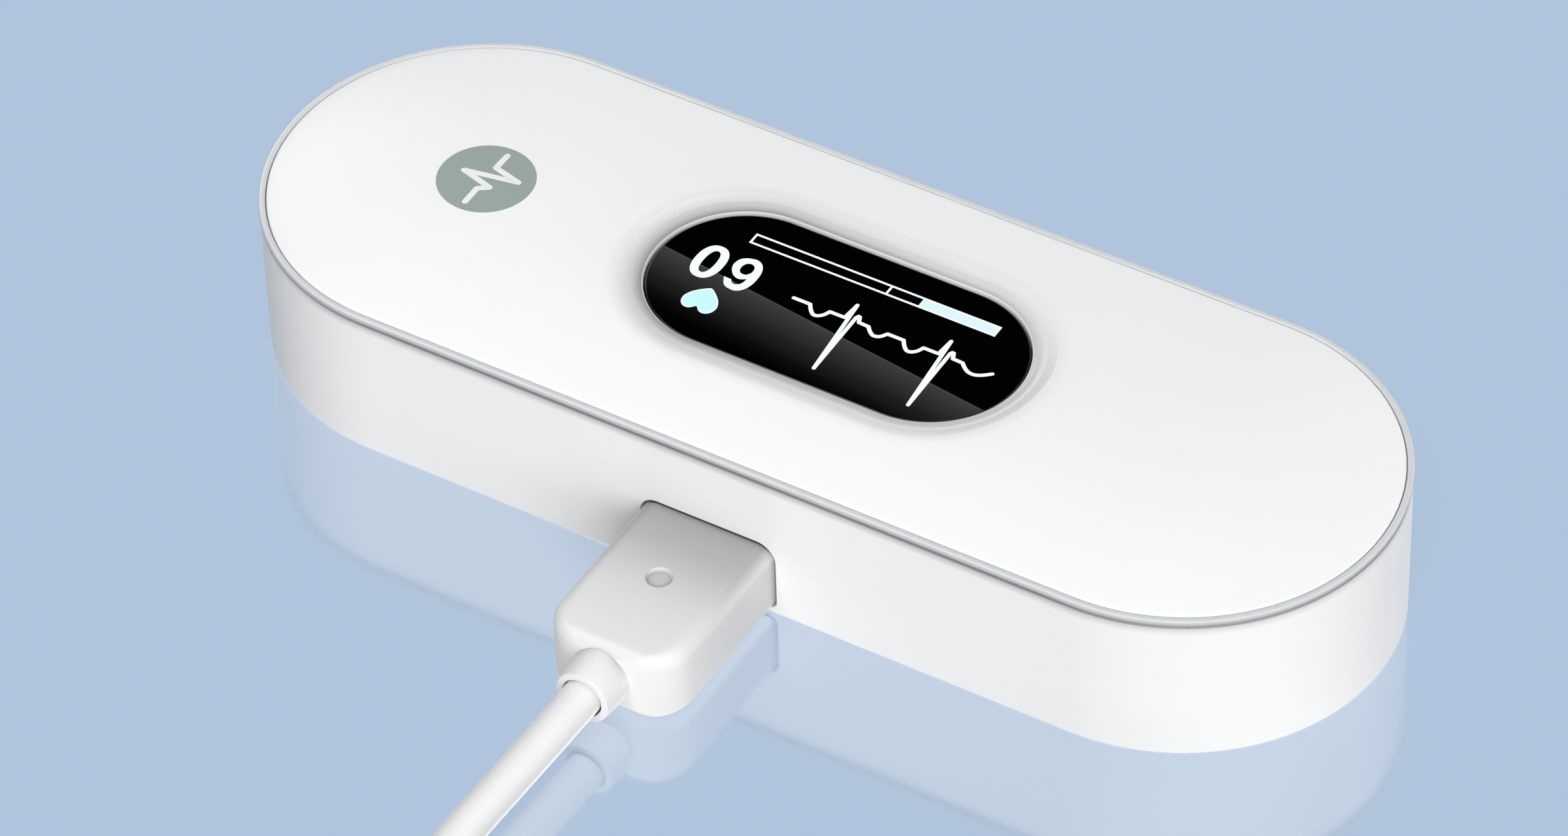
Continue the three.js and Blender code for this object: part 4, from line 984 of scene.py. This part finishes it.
def draped_strip(name, line, width, lift):
    """A thin printed line on the crown of the cover, as a row of short quads."""
    rings = []
    for index, point in enumerate(line):
        along = (Vector(line[min(index + 1, len(line) - 1)]) - Vector(line[max(index - 1, 0)])).normalized()
        across = Vector((-along.y, along.x)) * width / 2
        left, right = Vector(point) + across, Vector(point) - across
        rings.append([Vector((spot.x, spot.y, crown_at(spot.x, spot.y) + rise)) for spot, rise in (
            (left, lift), (right, lift), (right, -PRINT_HEIGHT), (left, -PRINT_HEIGHT))])
    return loft(name, rings)


def make_pulse():
    line = [(MARK_X + x * MARK_RADIUS, y * MARK_RADIUS) for x, y in PULSE]
    pieces = []
    for index, (start, end) in enumerate(zip(line, line[1:])):
        steps = [tuple(Vector(start).lerp(Vector(end), part / PULSE_PARTS)) for part in range(PULSE_PARTS + 1)]
        pieces.append(draped_strip(f"pulse_{index}", steps, MARK_LINE, 2 * PRINT_HEIGHT))
    for index, point in enumerate(line):
        dot = [(point[0] + x, point[1] + y) for x, y in circle(MARK_LINE / 2, 16)]
        pieces.append(draped(f"dot_{index}", dot, 2 * PRINT_HEIGHT))
    return joined("printed_pulse", pieces)


mark_disc = draped("printed_disc", [(MARK_X + x, y) for x, y in circle(MARK_RADIUS, 96)], PRINT_HEIGHT)
dress(mark_disc, "print", "monitor")
dress(make_pulse(), "print_line", "monitor")

# Power key and electrodes


def make_key():
    rings = [ring_at(key_outline(0), 2 * OVERRUN)]
    rings += [ring_at(key_outline(-inset), drop) for inset, drop in quarter(KEY_EDGE)[::-1]]
    for share, depth in KEY_DISH:
        rings.append(ring_at(stadium(KEY_STRAIGHT * share, (KEY_RADIUS - KEY_EDGE) * share, 16), depth * MM))
    return even_normals(place(loft("power_key_cap", rings), along_y(key_high.y + KEY_PROUD, KEY_Z, 1)))


dress(make_key(), "housing", "key", ["power_key"])


def make_electrode(name, side):
    rings = []
    for share in (0.05, 0.5, 0.85):
        rings.append(ring_at(electrode_outline(side, -ELECTRODE_EDGE, share), (1 - share) * ELECTRODE_DISH))
    rings += [ring_at(electrode_outline(side, -inset), rise) for inset, rise in quarter(ELECTRODE_EDGE)]
    rings.append(ring_at(electrode_outline(side), electrode_high.z))
    return even_normals(loft(f"electrode_pan_{name}", rings))


for name, side in (("left", -1), ("right", 1)):
    dress(make_electrode(name, side), "steel", "monitor", [f"electrode_{name}"])

# Charging plug: grip with its dimple, collar and metal shell

GRIP_STEPS = 20
DIMPLE_RADIUS = 1.12 * MM
DIMPLE_DEPTH = 0.34 * MM
DIMPLE_RIM = 0.1 * MM
DIMPLE_PLACE = 8.7 * MM
DIMPLE_X = -0.12 * MM
COLLAR_LIP = 0.16 * MM
COLLAR_INNER_LIP = 0.12 * MM
COLLAR_TAPER = 0.2 * MM
CORD_RADIUS = 1.7 * MM
CORD_HOLE = CORD_RADIUS + 0.16 * MM
CORD_HOLE_DEPTH = 1.6 * MM
PLUG_SHEET = 0.3 * MM
PLUG_SHELL_LIP = 0.1 * MM


def grip_rings(width, thickness, corner, low_corner, length, plan, end, front):
    """Sections of a moulded grip along Z, from its front face to the end that the cord leaves."""
    rings = []
    for inset, rise in quarter(front):
        rings.append(ring_at(rounded_rectangle(
            width - 2 * inset, thickness - 2 * inset, corner - inset / 2, 10, low_corner - inset / 2), rise))
    for from_end, side_inset in quarter(plan, GRIP_STEPS):
        edge_share = max(1 - from_end / end, 0)
        edge_inset = end * (1 - sqrt(1 - edge_share ** 2))
        rings.append(ring_at(rounded_rectangle(
            width - 2 * side_inset, thickness - 2 * edge_inset, corner, 10, low_corner), length - from_end))
    return rings


def make_grip():
    grip = loft("plug_grip", grip_rings(**PLUG_GRIP))
    profile = [(DIMPLE_RADIUS - DIMPLE_RIM, -DIMPLE_DEPTH), (DIMPLE_RADIUS, -DIMPLE_DEPTH + DIMPLE_RIM)]
    profile += [(DIMPLE_RADIUS + inset, -drop) for inset, drop in quarter(DIMPLE_RIM)[::-1]]
    dimple = lathe("dimple", profile + [(DIMPLE_RADIUS + DIMPLE_RIM, OVERRUN)])
    carve(grip, [place(dimple, along_y(PLUG_THICKNESS / 2, DIMPLE_PLACE, -1, DIMPLE_X))], 30)
    return even_normals(place(grip, along_y(plug_high.y, PLUG_MIDDLE_Z, 1, PLUG_X)))


def make_collar(name, radius, root, reach):
    """A collar along Z, from its root in the grip to the lip round the cord."""
    end = root + reach
    profile = [(radius, 0), (radius, root)]
    for share in (0.2, 0.4, 0.6, 0.8):
        profile.append((radius - COLLAR_TAPER * share ** 1.5, root + reach * share))
    profile += [(radius - COLLAR_TAPER - inset, end - drop) for inset, drop in quarter(COLLAR_LIP, 8)[::-1]]
    profile += [(CORD_HOLE + inset, end - drop) for inset, drop in quarter(COLLAR_INNER_LIP, 4)]
    return lathe(name, profile + [(CORD_HOLE, end - CORD_HOLE_DEPTH)], 64)


def make_plug_collar():
    collar = make_collar("plug_collar_sleeve", (collar_high.x - collar_low.x) / 2, collar_high.y - plug_low.y,
                         plug_low.y - collar_low.y)
    return even_normals(place(collar, along_y(collar_high.y, PLUG_AXIS_Z, 1, PLUG_X)))


def tube(name, outline_at, sheet, start, end, lip):
    """A tube of thin sheet along Z with rounded lips at its end, from its outline at an inset and a corner's cut."""
    return loft(name, [ring_at(outline_at(inset, cut), height) for inset, cut, height in (
        (0, 0, start), (0, 0, end - lip), (lip / 2, 0, end),
        (sheet - lip / 2, sheet, end), (sheet, sheet, end - lip), (sheet, sheet, start),
    )], is_loop=True)


def make_plug_shell():
    height = shell_high.z - shell_low.z
    straight = (shell_high.x - shell_low.x - height) / 2
    shell = tube("plug_metal_shell", lambda inset, cut: stadium(straight, height / 2 - inset, 16), PLUG_SHEET,
                 0, shell_high.y - shell_low.y, PLUG_SHELL_LIP)
    return even_normals(place(shell, along_y(shell_low.y, PLUG_AXIS_Z, -1)))


dress(make_grip(), "lead", "plug", ["plug_body"])
dress(make_plug_collar(), "lead", "plug", ["plug_collar"])
dress(make_plug_shell(), "connector", "plug", ["plug_shell"])

# Cord: out of the collar, level, down to the table, round its coil, and on to the far plug.
# The route's points in mm are those of the CAD model, with a slight bend to the left before the coil. The tail's
# are (way from the coil, height).

CORD_ROUTE = [(-0.27, -37.4, 4.15), (-0.35, -44, 4.15), (-0.48, -50, 4.15), (-0.6, -56, 4.1), (-0.58, -60.5, 3.75),
              (-0.48, -64.5, 3.2), (-0.32, -68.5, 2.7), (-0.14, -72.5, 2.55), (-0.03, -76, 2.6), (0, -79.3, 2.6)]
TAIL_ROUTE = [(3.7, 6.45), (7.2, 6.4), (10.5, 5.8), (13.5, 4.7), (16.5, 4), (20.2, 3.9)]
CORD_SPACING = 0.0012
COIL_Y = -83 * MM
COIL_INNER = 11.4 * MM
COIL_PITCH = 3.85 * MM
COIL_TURNS = 7 + 4 / 9
COIL_LOW = 2.6 * MM
COIL_OUTER = COIL_INNER + COIL_PITCH * COIL_TURNS / 2
COIL_STEPS = round(COIL_TURNS * 72)
CORD_SIDES = 5


def coil_point(turned):
    from_middle = turned - COIL_TURNS * pi
    radius = COIL_INNER + COIL_PITCH * abs(from_middle) / (2 * pi)
    climbed = min(max(from_middle / pi + 0.5, 0.0), 1.0)
    angle = pi + turned
    return Vector((
        COIL_OUTER + radius * cos(angle),
        COIL_Y + radius * sin(angle),
        COIL_LOW + COIL_PITCH * (climbed * climbed * (3 - 2 * climbed)),
    ))


end_angle = pi + COIL_TURNS * 2 * pi
heading = Vector((-sin(end_angle), cos(end_angle), 0))
coil_line = [coil_point(COIL_TURNS * 2 * pi * step / COIL_STEPS) for step in range(COIL_STEPS + 1)]
route = [(x * MM, y * MM, z * MM) for x, y, z in CORD_ROUTE]
tail = [(*(coil_line[-1] + heading * (along * MM)).to_tuple()[:2], height * MM) for along, height in TAIL_ROUTE]
cord_line = smooth_line(route)[:-1] + coil_line + smooth_line(tail)


def make_cord():
    curve = bpy.data.curves.new("charging_cord", "CURVE")
    curve.dimensions = "3D"
    curve.bevel_depth = CORD_RADIUS
    curve.bevel_resolution = CORD_SIDES
    curve.use_fill_caps = True
    curve.twist_mode = "Z_UP"
    add_polyline(curve, cord_line).use_smooth = True
    return new_object("charging_cord", curve)


cord = dress(make_cord(), "cord", "plug", ["cord", "cord_coil", "cord_tail"])

TIE_TURN = -pi * 0.6
TIE_WIDTH = 6 * MM
TIE_THICKNESS = 0.6 * MM
TIE_GAP = 0.3 * MM
TIE_EDGE = 0.15 * MM


def make_tie():
    """The band that goes once round the coil's turns."""
    inner = sqrt((COIL_INNER - CORD_RADIUS) ** 2 - (TIE_WIDTH / 2) ** 2) - TIE_GAP
    outer = COIL_OUTER + CORD_RADIUS + TIE_GAP
    low = COIL_LOW - CORD_RADIUS - TIE_GAP
    high = COIL_LOW + COIL_PITCH + CORD_RADIUS + TIE_GAP

    def section(grow):
        return rounded_rectangle(outer - inner + 2 * grow, high - low + 2 * grow, CORD_RADIUS + TIE_GAP + grow, 12)

    rings = []
    for side, inset in ((-1, TIE_EDGE), (-1, 0), (1, 0), (1, TIE_EDGE)):
        rings.append(ring_at(section(TIE_THICKNESS - inset), side * (TIE_WIDTH / 2 - (TIE_EDGE - inset))))
    rings += [ring_at(section(0), side * TIE_WIDTH / 2) for side in (1, -1)]
    swing = Matrix.Translation((COIL_OUTER, COIL_Y, 0)) @ Matrix.Rotation(TIE_TURN, 4, "Z")
    band = loft("coil_tie", rings, is_loop=True, sharp_angle=50)
    return place(band, swing @ along_y(0, (low + high) / 2, 1, (inner + outer) / 2))


tie = dress(make_tie(), "tie", "plug", ["cord_tie"])

# Far plug: grip, collar, metal shell with its two windows, and the insert with four contacts

USB_THICKNESS = 7.8 * MM
USB_LENGTH = 21 * MM
USB_GRIP = dict(width=15.6 * MM, thickness=USB_THICKNESS, corner=1.5 * MM, low_corner=1.5 * MM, length=USB_LENGTH,
                plan=4 * MM, end=1.4 * MM, front=0.3 * MM)
USB_SHELL_WIDTH = 12 * MM
USB_SHELL_HEIGHT = 4.5 * MM
USB_SHELL_REACH = 12 * MM
USB_SHELL_LIP = 0.12 * MM
USB_SHEET = 0.35 * MM
USB_SHELL_CORNER = 0.5 * MM
USB_ROOT = 1.5 * MM
USB_WINDOW_X = 2.9 * MM
USB_WINDOW_HALF = 1.1 * MM
USB_WINDOW_SPAN = (6.2 * MM, 8.6 * MM)
USB_INSERT_GAP = 0.2 * MM
USB_INSERT_HEIGHT = 1.8 * MM
USB_INSERT_BACK = 0.5 * MM
CONTACT_HALF = 0.5 * MM
CONTACT_SUNK = 0.1 * MM
CONTACT_PROUD = 0.06 * MM
CONTACT_SPAN = (1.5 * MM - USB_SHELL_REACH, -2 * MM)
MEETING_GAP = 0.3 * MM
COLLAR_REACH = 3.1 * MM
COLLAR_ROOT = 2 * MM
COLLAR_RADIUS = 2.7 * MM

far_place = Vector(tail[-1]) + heading * (USB_LENGTH + COLLAR_REACH - CORD_HOLE_DEPTH + MEETING_GAP)
far_place.z = USB_THICKNESS / 2
far_turn = Matrix.Rotation(atan2(-heading.x, heading.y), 4, "Z")
FAR_MATRIX = Matrix.Translation(far_place) @ far_turn @ along_y(0, 0, 1)


def far_piece(thing, material, node):
    return dress(even_normals(place(thing, FAR_MATRIX)), material, "plug", [node])


def make_usb_shell():
    def outline_at(inset, cut):
        return rounded_rectangle(USB_SHELL_WIDTH - 2 * inset, USB_SHELL_HEIGHT - 2 * inset, USB_SHELL_CORNER - cut)

    windows = []
    for x in (-USB_WINDOW_X, USB_WINDOW_X):
        windows.append(add_box("window", (x - USB_WINDOW_HALF, -USB_SHELL_HEIGHT, USB_WINDOW_SPAN[0]),
                               (x + USB_WINDOW_HALF, USB_SHELL_HEIGHT, USB_WINDOW_SPAN[1])))
    shell = tube("usb_metal_shell", outline_at, USB_SHEET, -USB_ROOT, USB_SHELL_REACH, USB_SHELL_LIP)
    carve(shell, windows)
    return place(shell, Matrix.Rotation(pi, 4, "X") @ Matrix.Scale(-1, 4, (1, 0, 0)))


def make_usb_insert():
    half = USB_SHELL_WIDTH / 2 - (USB_SHEET + USB_INSERT_GAP)
    bottom = -USB_SHELL_HEIGHT / 2 + USB_SHEET + USB_INSERT_GAP
    top = bottom + USB_INSERT_HEIGHT
    insert = add_box("usb_tongue", (-half, bottom, USB_INSERT_BACK - USB_SHELL_REACH), (half, top, USB_ROOT))
    contacts = []
    for quarters in (-3, -1, 1, 3):
        x = quarters * half / 4
        contacts.append(add_box("contact", (x - CONTACT_HALF, top - CONTACT_SUNK, CONTACT_SPAN[0]),
                                (x + CONTACT_HALF, top + CONTACT_PROUD, CONTACT_SPAN[1])))
    return insert, joined("usb_contacts", contacts)


usb_grip = far_piece(loft("usb_grip", grip_rings(**USB_GRIP)), "lead", "usb_body")
usb_collar = make_collar("usb_collar_sleeve", COLLAR_RADIUS, COLLAR_ROOT, COLLAR_REACH)
place(usb_collar, Matrix.Translation((0, 0, USB_LENGTH - COLLAR_ROOT)))
usb_collar = far_piece(usb_collar, "lead", "usb_collar")
usb_shell = far_piece(make_usb_shell(), "connector", "usb_shell")
usb_insert, usb_contacts = make_usb_insert()
usb_insert = far_piece(usb_insert, "black", "usb_insert")
dress(place(usb_contacts, FAR_MATRIX), "gold", "plug")

# Materials of the pieces that stay as the CAD model has them

NODES_OF = {
    "tape": ("lens_tape", "battery_tape"),
    "black": ("display_panel", "display_tray", "controller_chip", "heart_signal_chip", "switch_body",
              "switch_plunger", "socket_tongue", "battery_connector"),
    "flex": ("display_flex",),
    "board": ("main_board",),
    "steel": ("board_screw_1", "board_screw_2", "board_screw_3", "board_screw_4", "radio_can"),
    "connector": ("socket_shell",),
    "wrap": ("battery_cell",),
    "red": ("battery_lead_red",),
    "dark": ("battery_lead_black",),
    "seal": ("electrode_seal_left", "electrode_seal_right"),
    "gold": ("contact_spring_left", "contact_spring_right"),
}
for material, nodes in NODES_OF.items():
    for node in nodes:
        coat_with(frame["nodes"][node], material)

# Studio: a pale blue glossy table, an even sky, soft lamps, and a card that the black glass reflects

BACKGROUND = (0.440, 0.552, 0.716, 1)
GLOSS_COLOUR = (0.94, 0.98, 1.0, 1)
TABLE_GLOSS = 0.27
TABLE_GLOW = 0.92
TABLE_BOUNCE = (0.25, 0.25, 0.25, 1)
TABLE_HALF = 6.0
TABLE_DROP = 0.02 * MM


def seen_directly(tree):
    """One where a ray comes from the camera, a mirror or glass, else zero."""
    path = add_node(tree, "LightPath")
    first = calc("MAXIMUM", path["Is Camera Ray"], path["Is Glossy Ray"])
    return calc("MAXIMUM", first, path["Is Transmission Ray"])


def mix_shaders(share, first, second):
    node = first.id_data.nodes.new("ShaderNodeMixShader")
    for socket, value in zip(node.inputs, (share, first, second)):
        feed(socket, value)
    return node.outputs[0]


def bare_tree(owner):
    owner.use_nodes = True
    owner.node_tree.nodes.clear()
    return owner.node_tree


def add_quad(name, half_x, half_y):
    """A flat piece of the studio; gives it and its material's empty tree."""
    mesh = bpy.data.meshes.new(name)
    mesh.from_pydata(ring_at(corners(-half_x, -half_y, half_x, half_y), 0), [], [(0, 1, 2, 3)])
    mesh.materials.append(bpy.data.materials.new(name))
    return new_object(name, mesh), bare_tree(mesh.materials[0])


def make_world():
    world = bpy.data.worlds.new("studio")
    tree = bare_tree(world)
    sky = add_node(tree, "Background", Color=BACKGROUND, Strength=seen_directly(tree))
    add_node(tree, "OutputWorld", Surface=sky[0])
    bpy.context.scene.world = world


def make_table():
    table, tree = add_quad("table", TABLE_HALF, TABLE_HALF)
    lit = add_node(tree, "BsdfDiffuse", Color=BACKGROUND)[0]
    glow = add_node(tree, "Emission", Color=BACKGROUND, Strength=1.0)[0]
    gloss = add_node(tree, "BsdfGlossy", Color=GLOSS_COLOUR, Roughness=0.1)[0]
    bounce = add_node(tree, "BsdfDiffuse", Color=TABLE_BOUNCE)[0]
    shown = mix_shaders(TABLE_GLOSS, mix_shaders(TABLE_GLOW, lit, glow), gloss)
    add_node(tree, "OutputMaterial", Surface=mix_shaders(seen_directly(tree), bounce, shown))
    table.location.z = -TABLE_DROP
    table.visible_shadow = False
    return table


# The card, and the streak on it: two points of its sharp edge, how wide it is, and (position, glow) pairs across it

CARD_LIFT = 20 * MM
CARD_REACH = 34 * MM
CARD_HALF = (21 * MM, 11.5 * MM)
STREAK_LEFT = Vector((-17.22, 0.58)) * MM
STREAK_RIGHT = Vector((16.52, -3.82)) * MM
STREAK_FADE = 6.5 * MM
STREAK_GLOW = 0.85
STREAK = [(0.0, 0), (0.006, 1.5), (0.03, 1), (0.2, 0.72), (0.5, 0.3), (0.78, 0.07), (1.0, 0)]


def make_card():
    """A dark card over the window, which only mirrors close to it see. It carries the soft streak on the glass."""
    card, tree = add_quad("card", *CARD_HALF)
    along = (STREAK_RIGHT - STREAK_LEFT).normalized()
    start = STREAK_LEFT.dot(Vector((along.y, -along.x)))
    depth = calc("DOT_PRODUCT", object_place(tree), (along.y, -along.x, 0), kind="VectorMath", output="Value")
    across = spread(depth, start, start + STREAK_FADE)
    streak = ramp(across, [(position, STREAK_GLOW * glow) for position, glow in STREAK])
    is_close = calc("LESS_THAN", add_node(tree, "LightPath")["Ray Length"], CARD_REACH)
    glow = add_node(tree, "Emission", Color=streak)[0]
    clear = add_node(tree, "BsdfTransparent")[0]
    add_node(tree, "OutputMaterial", Surface=mix_shaders(is_close, clear, glow))
    eye = camera.matrix_world.translation
    widen = 1 + CARD_LIFT / (eye.z - GLASS_TOP)
    card.location = (eye.x + (WINDOW_X - eye.x) * widen, eye.y + (WINDOW_Y - eye.y) * widen, GLASS_TOP + CARD_LIFT)
    card.scale = (widen, widen, 1)
    card.visible_camera = False
    card.visible_diffuse = False
    card.visible_transmission = False
    card.visible_shadow = False


def add_sun(name, azimuth, elevation, strength, softness, table, is_for_table=False):
    """A far lamp that lights either the table alone or all else, so that the table mirrors no lamp.

    Softness is how wide the lamp looks, in degrees. A strong lamp makes no highlights.
    """
    data = bpy.data.lights.new(name, "SUN")
    data.energy = strength
    data.angle = radians(softness)
    lamp = new_object(name, data)
    lamp.rotation_euler = direction(azimuth, elevation).to_track_quat("Z", "Y").to_euler()
    lamp.visible_glossy = strength < STRONG_LAMP
    lit = bpy.data.collections.new(f"lit_by_{name}")
    lit.objects.link(table)
    lit.collection_objects[0].light_linking.link_state = "INCLUDE" if is_for_table else "EXCLUDE"
    lamp.light_linking.receiver_collection = lit


# Azimuth, elevation, strength and softness of each lamp

LAMPS = {
    "front": (0, 38, 1.2, 30),
    "front_high": (0, 64, 0.13, 30),
    "front_right": (45, 38, 1.24, 30),
    "front_right_high": (45, 64, 0.1, 30),
    "front_right_low": (45, 14, 0.9, 30),
    "right_low": (116, 4, 0.68, 30),
    "back_right": (135, 38, 0.2, 30),
    "back_low": (180, 3, 1.45, 30),
    "back_left_high": (-128, 62, 0.38, 30),
    "back_left": (-132, 34, 0.22, 16),
    "left_high": (-90, 64, 0.4, 30),
    "from_below": (0, -90, 2.7, 30),
}
TABLE_LAMP = (20, 55, 3.85, 30)
STRONG_LAMP = 0.5

make_world()
table = make_table()
make_card()
for lamp_name, lamp_values in LAMPS.items():
    add_sun(lamp_name, *lamp_values, table)
add_sun("over_table", *TABLE_LAMP, table, is_for_table=True)
